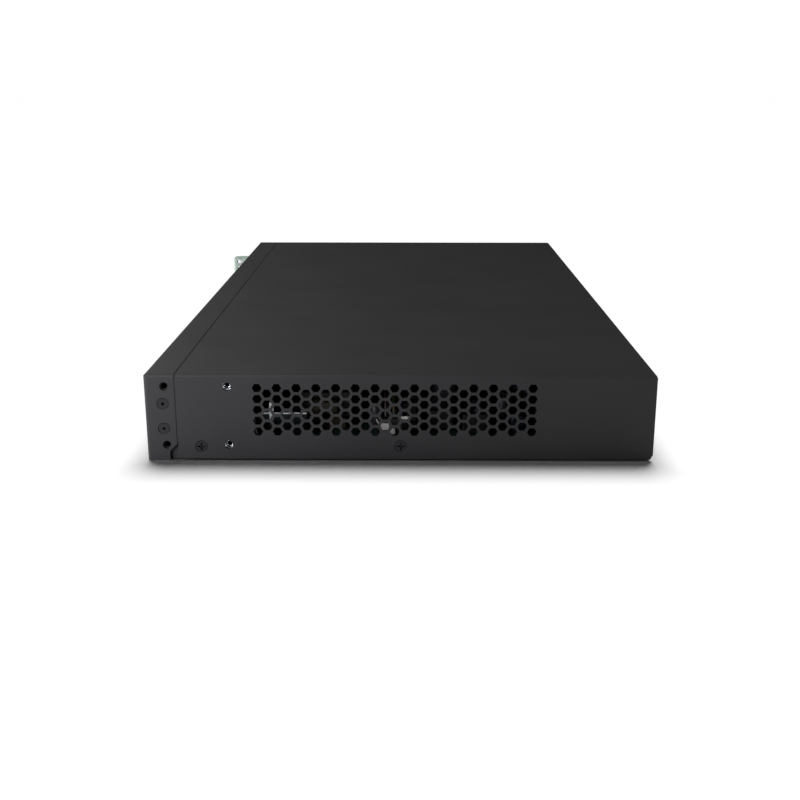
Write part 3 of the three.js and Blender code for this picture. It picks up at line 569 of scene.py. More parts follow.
@dataclass(frozen=True)
class Ink(Coat):
    """Pad-printed ink with tiny breaks."""

    def sockets(self, bench: Bench) -> dict[str, Value]:
        """What feeds the shader.

        Args:
            bench: Where the nodes go.

        Returns:
            The names of the shader's sockets, with their values.
        """
        breaks = bench.noise(0.4)
        return {
            "Base Color": bench.tint(breaks.between(0.3, 0.5), self.colour, 0.8, 1),
            "Roughness": 0.5 + 0.1 * breaks,
        }


class Finish(Enum):
    """Each finish: its material's name, the record's slot that it belongs to, and its coat."""

    BLACK_STEEL = "black_steel", "black_steel", PowderCoat((0.0155, 0.0155, 0.0165), 0.6, sheen=0.25)
    ZINC = "zinc_steel", "zinc_steel", Plate((0.66, 0.68, 0.7), 0.26)
    BLACK_SCREW = "black_screw", "black_screw", PowderCoat((0.012, 0.012, 0.014), 0.38, 0.3)
    NICKEL = "nickel_shield", "nickel_shield", Plate((0.56, 0.54, 0.5), 0.3, (1, 6, 1))
    # painted shade: the boards' green is darkened nearly to black, for the shade inside the case
    LAMINATE = "laminate", "laminate", Laminate((0.003, 0.022, 0.016))
    BLACK_PLASTIC = "black_plastic", "black_plastic", Moulding((0.014, 0.014, 0.016), 0.42)
    CHIP = "chip_plastic", "chip_plastic", Moulding((0.02, 0.02, 0.022), 0.5)
    ALUMINIUM = "aluminium", "aluminium", Plate((0.72, 0.73, 0.75), 0.3, (8, 0.3, 8))
    TERMINAL = "pale_terminal", "pale_terminal", Moulding((0.36, 0.46, 0.4), 0.42, 0.06)
    CLEAR = "clear_plastic", "clear_plastic", ClearMoulding((0.9, 0.93, 0.92))
    # painted shade: the yellow tape's colour is darkened nearly to black, for the shade inside the case
    TAPE = "tape", "tape", WoundTape((0.026, 0.022, 0.009))
    # painted shade: the sleeves are darkened further, for the shade inside the case
    SLEEVE = "sleeve", "sleeve", Sleeve((0.005, 0.006, 0.01))
    COPPER = "copper", "copper", CopperWinding((0.09, 0.035, 0.016))
    WHITE_NYLON = "white_nylon", "white_nylon", Moulding((0.8, 0.79, 0.74), 0.36, 0.04)
    # painted shade: the brown, blue and green-and-yellow of the mains leads are darkened nearly to black, for
    # the shade inside the case
    LIVE = "live_wire", "live_wire", Insulation((0.012, 0.005, 0.003))
    NEUTRAL = "neutral_wire", "neutral_wire", Insulation((0.003, 0.008, 0.028))
    EARTH = "earth_wire", "earth_wire", Insulation((0.005, 0.022, 0.004), (0.045, 0.035, 0.004))
    DARK_WIRE = "dark_wire", "dark_wire", Insulation((0.014, 0.014, 0.015))
    GOLD = "gold_contacts", "nickel_shield", Plate((0.95, 0.7, 0.3), 0.18)
    INK = "pale_ink", "white_nylon", Ink((0.62, 0.63, 0.64))
    GREEN_LIGHT = "green_window", "clear_plastic", Moulding((0.1, 0.42, 0.12), 0.2, 0.1)
    AMBER_LIGHT = "amber_window", "clear_plastic", Moulding((0.75, 0.36, 0.06), 0.2, 0.1)
    FERRITE = "ferrite", "chip_plastic", Moulding((0.011, 0.011, 0.012), 0.6, 0.2)
    # painted shade: the blue discs and the film boxes are darkened nearly to black, for the shade inside the
    # case
    BLUE_DISC = "blue_disc", "sleeve", Moulding((0.005, 0.01, 0.022), 0.5)
    FILM_BOX = "film_box", "tape", Moulding((0.014, 0.013, 0.011), 0.5)
    PHENOLIC = "brown_phenolic", "black_plastic", Moulding((0.035, 0.028, 0.011), 0.5)
    TIN = "bare_tin", "zinc_steel", Plate((0.7, 0.7, 0.68), 0.34)
    # painted shade: this aluminium is darkened nearly to black, for the shade inside the case
    ANODISED = "aluminium_painted_dark", "aluminium", Plate((0.03, 0.042, 0.044), 0.42, (8, 0.3, 8))

    def __init__(self, title: str, slot: str, coat: Coat) -> None:
        """Names the three parts of the value.

        Args:
            title: The material's name.
            slot: The record's slot.
            coat: How the material is made.
        """
        self.title = title
        self.slot = slot
        self.coat = coat


@cache
def paint(finish: Finish) -> bpy.types.Material:
    """The material of a finish, made when it is first asked for."""
    return finish.coat.make(finish.title)


# ------------------------------------------------------------------ metal and plastic stock


def off(origin: Point, x: float, y: float, z: float) -> Vector:
    """A point near another.

    Args:
        origin: The other point, in metres.
        x: How far it lies from it along X, in millimetres.
        y: The same along Y.
        z: The same along Z.

    Returns:
        The point, in metres.
    """
    return Vector((origin[0] + x * MM, origin[1] + y * MM, origin[2] + z * MM))


def span(node: str) -> tuple[Vector, Vector, Vector]:
    """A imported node's low corner, middle and high corner."""
    low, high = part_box(node)
    return low, (low + high) / 2, high


class Stock:
    """Solid shapes collected into one mesh, which then becomes one named piece."""

    def __init__(self) -> None:
        """Starts with nothing."""
        self.mesh = bmesh.new()

    def block(self, corner: Point, opposite: Point) -> "Stock":
        """Adds a box.

        Args:
            corner: One of its corners.
            opposite: The opposite corner.

        Returns:
            The stock.
        """
        size = [abs(b - a) for a, b in zip(corner, opposite)]
        middle = [(a + b) / 2 for a, b in zip(corner, opposite)]
        place = Matrix.Translation(middle) @ Matrix.Diagonal((*size, 1))
        bmesh.ops.create_cube(self.mesh, size=1.0, matrix=place)
        return self

    def bar(self, start: Point, end: Point, radius: float, sides: int = 24) -> "Stock":
        """Adds a round bar between two points.

        Args:
            start: The middle of one end.
            end: The middle of the other.
            radius: Its radius, in millimetres.
            sides: How many facets go round it.

        Returns:
            The stock.
        """
        profile = [(radius, 0), (radius, (Vector(end) - Vector(start)).length / MM)]
        return self.lathe(start, Vector(end) - Vector(start), profile, sides)

    def lathe(
        self, centre: Point, axis: Point, profile: Sequence[Point], sides: int = 32, ring: bool = False
    ) -> "Stock":
        """Adds a turned shape.

        Args:
            centre: The point where the profile's levels start.
            axis: The direction of the levels.
            profile: Radius and level of each hoop, in millimetres, from one end to the other.
            sides: How many facets go round it.
            ring: Whether the profile closes on itself, as a ring's section does.

        Returns:
            The stock.
        """
        turn = Vector(axis).to_track_quat("Z", "Y").to_matrix().to_4x4()
        place = Matrix.Translation(centre) @ turn
        angles = [2 * math.pi * i / sides for i in range(sides)]
        hoops = []
        for radius, level in profile:
            hoop = [(radius * math.cos(a) * MM, radius * math.sin(a) * MM, level * MM) for a in angles]
            hoops.append([self.mesh.verts.new(place @ Vector(point)) for point in hoop])
        for near, far in zip(hoops, hoops[1:] + hoops[: int(ring)]):
            for i in range(sides):
                after = (i + 1) % sides
                self.mesh.faces.new((near[i], near[after], far[after], far[i]))
        if not ring:
            self.mesh.faces.new(list(reversed(hoops[0])))
            self.mesh.faces.new(hoops[-1])
        return self

    def sheet(self, outline: Sequence[Point], push: Point) -> "Stock":
        """Adds a flat outline with a thickness.

        Args:
            outline: Its corners, all in one plane.
            push: The thickness, as a vector in metres.

        Returns:
            The stock.
        """
        near = [self.mesh.verts.new(point) for point in outline]
        far = [self.mesh.verts.new(Vector(point) + Vector(push)) for point in outline]
        self.mesh.faces.new(near)
        self.mesh.faces.new(list(reversed(far)))
        for i in range(len(outline)):
            self.mesh.faces.new((near[i], near[i - 1], far[i - 1], far[i]))
        return self

    def melt(self, curve: bpy.types.Curve, place: Optional[Matrix] = None) -> "Stock":
        """Adds the shape of a curve, and throws the curve away.

        Args:
            curve: The curve.
            place: Where it goes.

        Returns:
            The stock.
        """
        carrier = bpy.data.objects.new("carrier", curve)
        made = bpy.data.meshes.new_from_object(carrier)
        made.transform(place or Matrix.Identity(4))
        self.mesh.from_mesh(made)
        bpy.data.objects.remove(carrier)
        bpy.data.curves.remove(curve)
        bpy.data.meshes.remove(made)
        return self

    def tube(self, points: Sequence[Point], radius: float, sides: int = 12) -> "Stock":
        """Adds a tube of one radius that follows a smooth line through the points.

        Args:
            points: The points of the line.
            radius: The tube's radius, in metres.
            sides: How many facets go round it.

        Returns:
            The stock.
        """
        line = bpy.data.curves.new("line", "CURVE")
        line.dimensions = "3D"
        line.bevel_depth = radius
        line.bevel_resolution = max(1, sides // 4 - 1)
        line.use_fill_caps = True
        line.resolution_u = 8
        spline = line.splines.new("NURBS")
        spline.points.add(len(points) - 1)
        for control, point in zip(spline.points, points):
            control.co = (*point, 1.0)
        spline.order_u = min(4, len(points))
        spline.use_endpoint_u = True
        return self.melt(line)

    def copy_node(self, node: bpy.types.Object) -> "Stock":
        """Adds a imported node's shape, with its flat faces made whole.

        Args:
            node: The node.

        Returns:
            The stock.
        """
        self.mesh.from_mesh(node.data)
        bmesh.ops.remove_doubles(self.mesh, verts=self.mesh.verts, dist=1e-6)
        bmesh.ops.dissolve_limit(
            self.mesh, angle_limit=math.radians(0.5), verts=self.mesh.verts, edges=self.mesh.edges
        )
        return self

    def fold(self, planes: Sequence[tuple[int, float]], radius: float) -> "Stock":
        """Rounds the long outer edges where two of the given planes meet, as a press brake does.

        Args:
            planes: Each plane's axis and its place on that axis.
            radius: The outer radius of the fold, in metres.

        Returns:
            The stock.
        """
        folded = []
        for line in self.mesh.edges:
            ends = [corner.co for corner in line.verts]
            shared = {axis for axis, level in planes if all(abs(end[axis] - level) < 2e-5 for end in ends)}
            if len(shared) == 2 and line.calc_length() > 8 * MM:
                folded.append(line)
        bmesh.ops.bevel(
            self.mesh, geom=folded, offset=radius, segments=4, profile=0.5, affect="EDGES", clamp_overlap=True
        )
        return self


@dataclass
class Workshop:
    """Turns stock into named pieces that ride on a body."""

    frame: dict

    def piece(
        self,
        name: str,
        stock: Stock,
        finish: Finish,
        body: str = SWITCH,
        edge: float = 0.15,
        smooth: float = 40,
    ) -> bpy.types.Object:
        """Makes one piece.

        Args:
            name: The piece's name.
            stock: Its shape.
            finish: Its finish.
            body: The body that it rides on.
            edge: The radius of its rounded edges, in millimetres, 0 for none.
            smooth: Edges that turn less than this, in degrees, are shaded as one surface.

        Returns:
            The piece.
        """
        bmesh.ops.recalc_face_normals(stock.mesh, faces=stock.mesh.faces)
        limit = math.radians(smooth)
        for part in stock.mesh.faces:
            part.smooth = True
        for line in stock.mesh.edges:
            line.smooth = line.calc_face_angle(math.pi) < limit
        data = bpy.data.meshes.new(name)
        stock.mesh.to_mesh(data)
        stock.mesh.free()
        data.materials.append(paint(finish))
        made = bpy.data.objects.new(name, data)
        bpy.context.scene.collection.objects.link(made)
        if edge:
            bevel = made.modifiers.new("edges", "BEVEL")
            bevel.width = edge * MM
            bevel.segments = 2
            bevel.limit_method = "ANGLE"
            bevel.angle_limit = limit
            bevel.use_clamp_overlap = True
            made.modifiers.new("flats", "WEIGHTED_NORMAL").keep_sharp = False
        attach(made, body)
        return made

    def stand_in(
        self, node: str, stock: Stock, finish: Finish, edge: float, body: str = SWITCH, smooth: float = 40
    ) -> None:
        """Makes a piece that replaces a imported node.

        Args:
            node: The node.
            stock: The piece's shape.
            finish: Its finish.
            edge: The radius of its rounded edges, in millimetres.
            body: The body that it rides on.
            smooth: Edges that turn less than this, in degrees, are shaded as one surface.
        """
        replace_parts(self.piece(f"{node}_made", stock, finish, body, edge, smooth), node)

    def refine(
        self, finish: Finish, edge: float, *nodes: str, body: str = SWITCH, smooth: float = 40
    ) -> None:
        """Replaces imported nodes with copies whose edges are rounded.

        Args:
            finish: The copies' finish.
            edge: The radius of the rounded edges, in millimetres.
            nodes: The nodes.
            body: The body that they ride on.
            smooth: Edges that turn less than this, in degrees, are shaded as one surface.
        """
        for node in nodes:
            stock = Stock().copy_node(self.frame["nodes"][node])
            self.stand_in(node, stock, finish, edge, body, smooth)


# ------------------------------------------------------------------ case


@dataclass
class SheetCase:
    """The folded case: floor tray, cover and front panel, with the fasteners that hold them."""

    shop: Workshop
    fold_radius: float = 0.9 * MM
    notch: float = 9.2 * MM
    strip_top: float = 0.25 * MM
    strip_foot: float = 1.0 * MM
    slack: float = 0.02 * MM
    bore: float = 1.5
    mouth: float = 2.1
    flange: float = 3.8
    wall: float = 1.3
    thread_pitch: float = 0.7
    thread_ends: float = 1.4
    thread_wire: float = 0.14 * MM

    def build(self) -> None:
        """Makes the sheet metal and its fasteners."""
        self._folded("top_cover", "xz", "z")
        self._folded("chassis_base", "xyz", "")
        self._folded("front_panel", "xyz", "z")
        self._joggle()
        for side, outward in (("right", 1), ("left", -1)):
            screws = [f"cover_screw_{side}_{place}" for place in ("front", "middle")]
            screws += [f"panel_screw_{side}_{level}" for level in ("upper", "lower")]
            self.shop.refine(Finish.BLACK_SCREW, 0.08, *screws)
            for level in ("upper", "lower"):
                self._clinch_nut(f"ear_nut_{side}_{level}", outward)
        self.shop.refine(Finish.BLACK_SCREW, 0.1, "rear_screw_1", "rear_screw_2")

    def _folded(self, node: str, axes: str, tops: str) -> None:
        """Replaces a sheet part with a copy whose folds are rounded.

        Args:
            node: The part's node.
            axes: The axes whose outer planes meet in folds.
            tops: The axes on which only the high plane is folded.
        """
        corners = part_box(node)
        planes = []
        for axis in axes:
            index = "xyz".index(axis)
            planes += [(index, corner[index]) for corner in (corners[1:] if axis in tops else corners)]
        stock = Stock().copy_node(self.shop.frame["nodes"][node]).fold(planes, self.fold_radius)
        self.shop.stand_in(node, stock, Finish.BLACK_STEEL, 0.1, smooth=30)

    def _joggle(self) -> None:
        """Makes the strips of the panel's flange that show in the seam before the cover."""
        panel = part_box("front_panel")[1]
        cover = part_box("top_cover")[0]
        front, rear = panel.y + self.slack, cover.y - self.slack
        foot, top = panel.z - self.strip_foot, panel.z - self.strip_top
        left, right = cover.x + self.fold_radius, panel.x - self.fold_radius
        strip = Stock().block((left, front, foot), (right, rear, top))
        for outer, inward in ((panel.x, -1), (cover.x, 1)):
            near, far = outer + inward * self.strip_top, outer + inward * self.strip_foot
            strip.block((near, front, self.notch), (far, rear, foot - self.strip_top))
        self.shop.piece("panel_joggle", strip, Finish.BLACK_STEEL, edge=0)

    def _clinch_nut(self, node: str, side: int) -> None:
        """Makes a clinch nut with a countersunk mouth and a thread in its bore.

        Args:
            node: The nut's node.
            side: 1 on the right wall, -1 on the left one.
        """
        low, middle, high = span(node)
        face = (high.x if side > 0 else low.x, middle.y, middle.z)
        deep = (high.x - low.x) / MM
        profile = [
            (self.mouth, 0), (self.bore, 0.8), (self.bore, deep), (self.flange, deep),
            (self.flange, self.wall), (self.mouth, self.wall),
        ]
        nut = Stock().lathe(face, (-side, 0, 0), profile, 40, ring=True)
        self.shop.stand_in(node, nut, Finish.ZINC, 0.08)
        turns = (deep - self.thread_ends) / self.thread_pitch
        steps = int(turns * 12)
        points = []
        for step in range(steps + 1):
            angle = 2 * math.pi * turns * step / steps
            reach = -side * (1.0 + step / steps * (deep - self.thread_ends))
            points.append(off(face, reach, self.bore * math.cos(angle), self.bore * math.sin(angle)))
        thread = Stock().tube(points, self.thread_wire, 4)
        self.shop.piece(f"{node}_thread", thread, Finish.ZINC, edge=0)


# ------------------------------------------------------------------ front sockets


def contact_wires(stock: Stock, roof: Point, away: int) -> None:
    """Adds eight sprung contact wires to a jack.

    Args:
        stock: Where they go.
        roof: The middle of the jack's mouth, at the level that the wires leave from.
        away: -1 where they slope down from there, 1 where they slope up.
    """
    for index in range(8):
        left = (index - 3.5) * 1.02 - 0.17
        profile = [(3.0, 0.15), (11.5, 3.2), (11.5, 2.8), (3.0, 0)]
        stock.sheet([off(roof, left, y, away * z) for y, z in profile], (0.34 * MM, 0, 0))


@dataclass
class JackBlock:
    """One ganged block of modular jacks: shield, contacts, port lights and dark linings."""

    shop: Workshop
    node: str
    columns: int = 6
    pitch: float = 13.97 * MM
    wall: float = 0.8 * MM
    sill: float = 2.7 * MM
    tall: float = 8.2 * MM

    def build(self) -> None:
        """Makes the shield and what it holds."""
        self.shop.refine(Finish.NICKEL, 0.15, self.node)
        low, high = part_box(self.node)
        contacts, inserts, green, amber = Stock(), Stock(), Stock(), Stock()
        for column in range(self.columns):
            x = low.x + self.wall + (column + 0.5) * self.pitch
            for bottom, inward in ((low.z + self.sill, 1), (high.z - self.sill - self.tall, -1)):
                roof = bottom + self.tall if inward > 0 else bottom
                contact_wires(contacts, (x, low.y, roof), -inward)
                self._lining(inserts, (x, low.y, bottom))
            for z in (low.z + 1.15 * MM, high.z - 1.15 * MM):
                for windows, across in ((green, -4.6), (amber, 4.6)):
                    left, right = across - 1.3, across + 1.3
                    windows.block(off((x, low.y, z), left, -0.02, -0.6), off((x, low.y, z), right, 0.4, 0.6))
        self.shop.piece(f"{self.node}_contacts", contacts, Finish.GOLD, edge=0)
        self.shop.piece(f"{self.node}_inserts", inserts, Finish.BLACK_PLASTIC, edge=0.1)
        self.shop.piece(f"{self.node}_lights_green", green, Finish.GREEN_LIGHT, edge=0.1)
        self.shop.piece(f"{self.node}_lights_amber", amber, Finish.AMBER_LIGHT, edge=0.1)

    def _lining(self, stock: Stock, foot: Point) -> None:
        """Adds the dark moulded lining of a jack: its back, flanks, floor and roof.

        Args:
            stock: Where it goes.
            foot: The middle of the pocket's lower level, on the block's face.
        """
        half, skin, front, back = 5.9, 0.25, 0.7, 12.2
        top = self.tall / MM
        stock.block(off(foot, -half, back, 0.05), off(foot, half, back + 1.2, top - 0.05))
        for side in (-1, 1):
            stock.block(off(foot, side * half, front, 0), off(foot, side * (half - skin), back, top))
            for z in (0, top - skin):
                stock.block(off(foot, side * half, front, z), off(foot, side * 3.2, back, z + skin))


@dataclass
class OpticalCages:
    """The bank of cages: folded shield, spring fingers round the mouth, and the connectors inside."""

    shop: Workshop
    node: str = "optical_cage_bank"
    slots: int = 4
    pitch: float = 14.25 * MM
    wall: float = 0.45 * MM

    def build(self) -> None:
        """Makes the shield, its fingers and the connectors."""
        self.shop.refine(Finish.NICKEL, 0.1, self.node)
        low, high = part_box(self.node)
        fingers, connectors, tongues = Stock(), Stock(), Stock()
        for index in range(self.slots):
            left = low.x + self.wall + index * self.pitch
            middle = left + (self.pitch - self.wall) / 2
            back = (middle, high.y, low.z)
            connectors.block(off(back, -5.4, -9, 1), off(back, 5.4, -1, 7))
            connectors.block(off(back, -4.6, -12, 2), off(back, 4.6, -9, 3))
            corners = [(-1.6, 2, 0.5), (1.6, 2, 0.5), (1.2, 9, 1.5), (-1.2, 9, 1.5)]
            tongues.sheet([off((middle, low.y, low.z), *corner) for corner in corners], (0, 0, 0.25 * MM))
            for step in range(4):
                x = 1.6 + step * 3.1
                corners = [(x, 0.2, -0.46), (x + 1.8, 0.2, -0.46), (x + 1.8, 5, -1.1), (x, 5, -1.1)]
                fingers.sheet([off((left, low.y, high.z), *corner) for corner in corners], (0, 0, -0.15 * MM))
        self.shop.piece("optical_spring_fingers", fingers, Finish.TIN, edge=0)
        self.shop.piece("optical_connectors", connectors, Finish.BLACK_PLASTIC)
        self.shop.piece("optical_latch_tongues", tongues, Finish.TIN, edge=0)


@dataclass
class PanelMarks:
    """Plain numerals printed over the sockets and beside the lights."""

    shop: Workshop
    height: float = 2.4 * MM
    lift: float = 0.03 * MM
    columns: int = 6
    cages: int = 4
    cage_pitch: float = 14.25 * MM
    lights: int = 5

    def build(self) -> None:
        """Prints the port numbers, the optical port numbers and the light numbers."""
        marks = Stock()
        for node, first in (("jack_block_left", 1), ("jack_block_right", 13)):
            low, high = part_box(node)
            for column in range(self.columns):
                x = low.x + (column + 0.5) * (high.x - low.x) / self.columns
                for row, across in ((0, -2.6 * MM), (1, 2.6 * MM)):
                    self._number(marks, first + 2 * column + row, x + across, high.z + 1.6 * MM)
        low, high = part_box("optical_cage_bank")
        for index in range(self.cages):
            x = low.x + (index + 0.5) * self.cage_pitch
            self._number(marks, 25 + index, x, high.z + 9 * MM)
        low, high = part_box("status_light_pipe")
        for index in range(self.lights):
            self._number(marks, self.lights - index, low.x + 5.4 * MM, (17.1 + index * 4) * MM)
        self.shop.piece("panel_numerals", marks, Finish.INK, edge=0)

    def _number(self, marks: Stock, number: int, x: float, z: float) -> None:
        """Prints a number on the front panel.

        Args:
            marks: Where it goes.
            number: The number.
            x: Its middle.
            z: Its foot.
        """
        text = bpy.data.curves.new("numeral", "FONT")
        text.body = str(number)
        text.size = self.height
        text.align_x = "CENTER"
        text.extrude = 0.01 * MM
        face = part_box("front_panel")[0].y - self.lift / 2
        marks.melt(text, Matrix.Translation((x, face, z)) @ Matrix.Rotation(math.pi / 2, 4, "X"))


@dataclass
class FrontSockets:
    """Everything that shows in the front panel's windows."""

    shop: Workshop

    def build(self) -> None:
        """Makes the sockets, lights, reset button and printed numbers."""
        JackBlock(self.shop, "jack_block_left").build()
        JackBlock(self.shop, "jack_block_right").build()
        self._console()
        OpticalCages(self.shop).build()
        PanelMarks(self.shop).build()
        self.shop.refine(Finish.CLEAR, 0.12, "status_light_pipe", "uplink_light_pipe")
        self.shop.refine(Finish.BLACK_PLASTIC, 0.1, "reset_switch")
        self.shop.refine(Finish.WHITE_NYLON, 0.1, "reset_button", body="reset_button")

    def _console(self) -> None:
        """Makes the console jack with its eight contacts."""
        self.shop.refine(Finish.BLACK_PLASTIC, 0.15, "console_jack")
        low, middle, _ = span("console_jack")
        contacts = Stock()
        contact_wires(contacts, (middle.x, low.y, low.z + 10.9 * MM), -1)
        self.shop.piece("console_contacts", contacts, Finish.GOLD, edge=0)


# ------------------------------------------------------------------ terminal block


@dataclass
class TerminalBlock:
    """The pluggable screw terminal that stands out of the front's left end."""

    shop: Workshop
    body: str = "terminal_plug"
    poles: int = 4
    pitch: float = 5.08 * MM

    def build(self) -> None:
        """Makes the header, the plug, its clamps and the board behind."""
        self.shop.refine(Finish.TERMINAL, 0.2, "terminal_header")
        self.shop.refine(Finish.TERMINAL, 0.25, "terminal_plug", body=self.body)
        screws = [f"terminal_screw_{number}" for number in range(1, self.poles + 1)]
        self.shop.refine(Finish.ZINC, 0.1, *screws, body=self.body)
        self.shop.refine(Finish.LAMINATE, 0.05, "terminal_board")
        self._clamps()
        self._ribs()

    def _clamps(self) -> None:
        """Makes the metal clamp seen at the end of each wire entry."""
        low, middle, _ = span("terminal_plug")
        clamps = Stock()
        for index in range(self.poles):
            pole = (middle.x, low.y, low.z + (index + 0.5) * self.pitch)
            for left, front, right in ((-4.8, 2.5, -4.4), (-2.0, 2.5, -1.6), (-4.8, 8.2, -1.6)):
                clamps.block(off(pole, left, front, -1.7), off(pole, right, 8.8, 1.7))
        self.shop.piece("terminal_clamps", clamps, Finish.ZINC, self.body, 0.05)

    def _ribs(self) -> None:
        """Makes the shallow ribs between the poles on both flanks of the plug."""
        low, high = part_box("terminal_plug")
        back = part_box("front_panel")[0].y
        ribs = Stock()
        for index in range(1, self.poles):
            z = low.z + index * self.pitch
            for x in (low.x, high.x):
                ribs.block(off((x, low.y, z), -0.12, 3, -0.35), off((x, back, z), 0.12, -2.2, 0.35))
        self.shop.piece("terminal_ribs", ribs, Finish.TERMINAL, self.body, 0.1)


# ------------------------------------------------------------------ boards


class SmallParts:
    """Free places on a board for small parts, clear of each other and of the larger pieces."""

    gap = 1.0 * MM  # the clear strip round each larger piece
    tries = 60  # throws of the dice for each wanted place

    def __init__(self, seed: int, low: Point, high: Point, blocked: Sequence[str]) -> None:
        """Measures the ground that is taken.

        Args:
            seed: What the dice start from.
            low: The ground's low corner.
            high: Its high corner, at the height of the board's face.
            blocked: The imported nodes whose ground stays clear.
        """
        self.dice = random.Random(seed)
        self.low, self.high = low, high
        self.boxes = [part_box(node) for node in blocked]
        self.taken: list[tuple[float, float, float]] = []

    def _clear(self, x: float, y: float, radius: float) -> bool:
        """Tells whether a round place is free.

        Args:
            x: Its middle.
            y: Its middle.
            radius: Its radius.

        Returns:
            True where nothing else stands.
        """
        for low, high in self.boxes:
            away = math.hypot(max(low.x - x, x - high.x, 0), max(low.y - y, y - high.y, 0))
            if away < radius + self.gap:
                return False
        return all(math.hypot(x - a, y - b) > radius + r for a, b, r in self.taken)

    def places(self, count: int, clear: float) -> list[Point]:
        """Finds free places on the ground.

        Args:
            count: How many are wanted.
            clear: The clear radius that each needs, in millimetres.

        Returns:
            The places found, at most `count`, on the board's face.
        """
        radius = clear * MM
        found = []
        for _ in range(count * self.tries):
            if len(found) == count:
                break
            x = self.dice.uniform(self.low[0] + radius, self.high[0] - radius)
            y = self.dice.uniform(self.low[1] + radius, self.high[1] - radius)
            if self._clear(x, y, radius):
                self.taken.append((x, y, radius))
                found.append((x, y, self.high[2]))
        return found


@dataclass
class MainBoard:
    """The main circuit board with its chips, heatsinks and small parts."""

    shop: Workshop
    blocked: Sequence[str] = (
        "switch_heatsink", "port_chip_heatsink_1", "port_chip_heatsink_2", "jack_block_left",
        "jack_block_right", "optical_cage_bank", "console_jack", "fan_lead_front", "fan_lead_rear",
        "status_light_pipe", "uplink_light_pipe", "reset_switch", "supply_harness",
    )

    def build(self) -> None:
        """Makes the board and everything on it."""
        self.shop.refine(Finish.LAMINATE, 0.05, "main_board")
        self.shop.refine(Finish.CHIP, 0.2, "switch_chip")
        self.shop.refine(Finish.ALUMINIUM, 0.1, *self.blocked[:3])
        self._port_chips()
        self._populate()

    def _port_chips(self) -> None:
        """Makes the chip under each small heatsink."""
        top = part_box("main_board")[1].z
        chips = Stock()
        for node in self.blocked[1:3]:
            low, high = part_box(node)
            chips.block(off((low.x, low.y, top), 3, 3, 0), off((high.x, high.y, low.z), -3, -3, -0.02))
        self.shop.piece("port_chips", chips, Finish.CHIP)

    def _populate(self) -> None:
        """Scatters memory, regulators, coils, capacitors and small chips over the board."""
        low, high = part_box("main_board")
        corners = (low.x + 6 * MM, low.y + 6 * MM), (high.x - 6 * MM, high.y - 6 * MM, high.z)
        parts = SmallParts(7, *corners, self.blocked)
        chips, legs, cans, coils, specks = Stock(), Stock(), Stock(), Stock(), Stock()
        for spot in parts.places(9, 9):
            chips.block(off(spot, -5, -4, 0.1), off(spot, 5, 4, 1.2))
            for index in range(9):
                leg = (index - 4) * 1.1
                legs.block(off(spot, leg - 0.2, -5.3, 0), off(spot, leg + 0.2, 5.3, 0.3))
        for spot in parts.places(12, 4.2):
            cans.lathe(spot, (0, 0, 1), [(3.4, 0), (3.4, 1.2), (3.1, 1.6), (3.1, 7), (2.7, 7.4)], 24)
        for spot in parts.places(6, 6):
            coils.block(off(spot, -4.5, -4.5, 0), off(spot, 4.5, 4.5, 4))
        for spot in parts.places(90, 1.6):
            specks.block(off(spot, -0.9, -0.5, 0), off(spot, 0.9, 0.5, 0.6))
        self.shop.piece("board_chips", chips, Finish.CHIP)
        self.shop.piece("board_chip_legs", legs, Finish.TIN, edge=0)
        self.shop.piece("board_can_capacitors", cans, Finish.ALUMINIUM)
        self.shop.piece("board_coils", coils, Finish.FERRITE, edge=0.4)
        self.shop.piece("board_small_parts", specks, Finish.BLUE_DISC, edge=0)


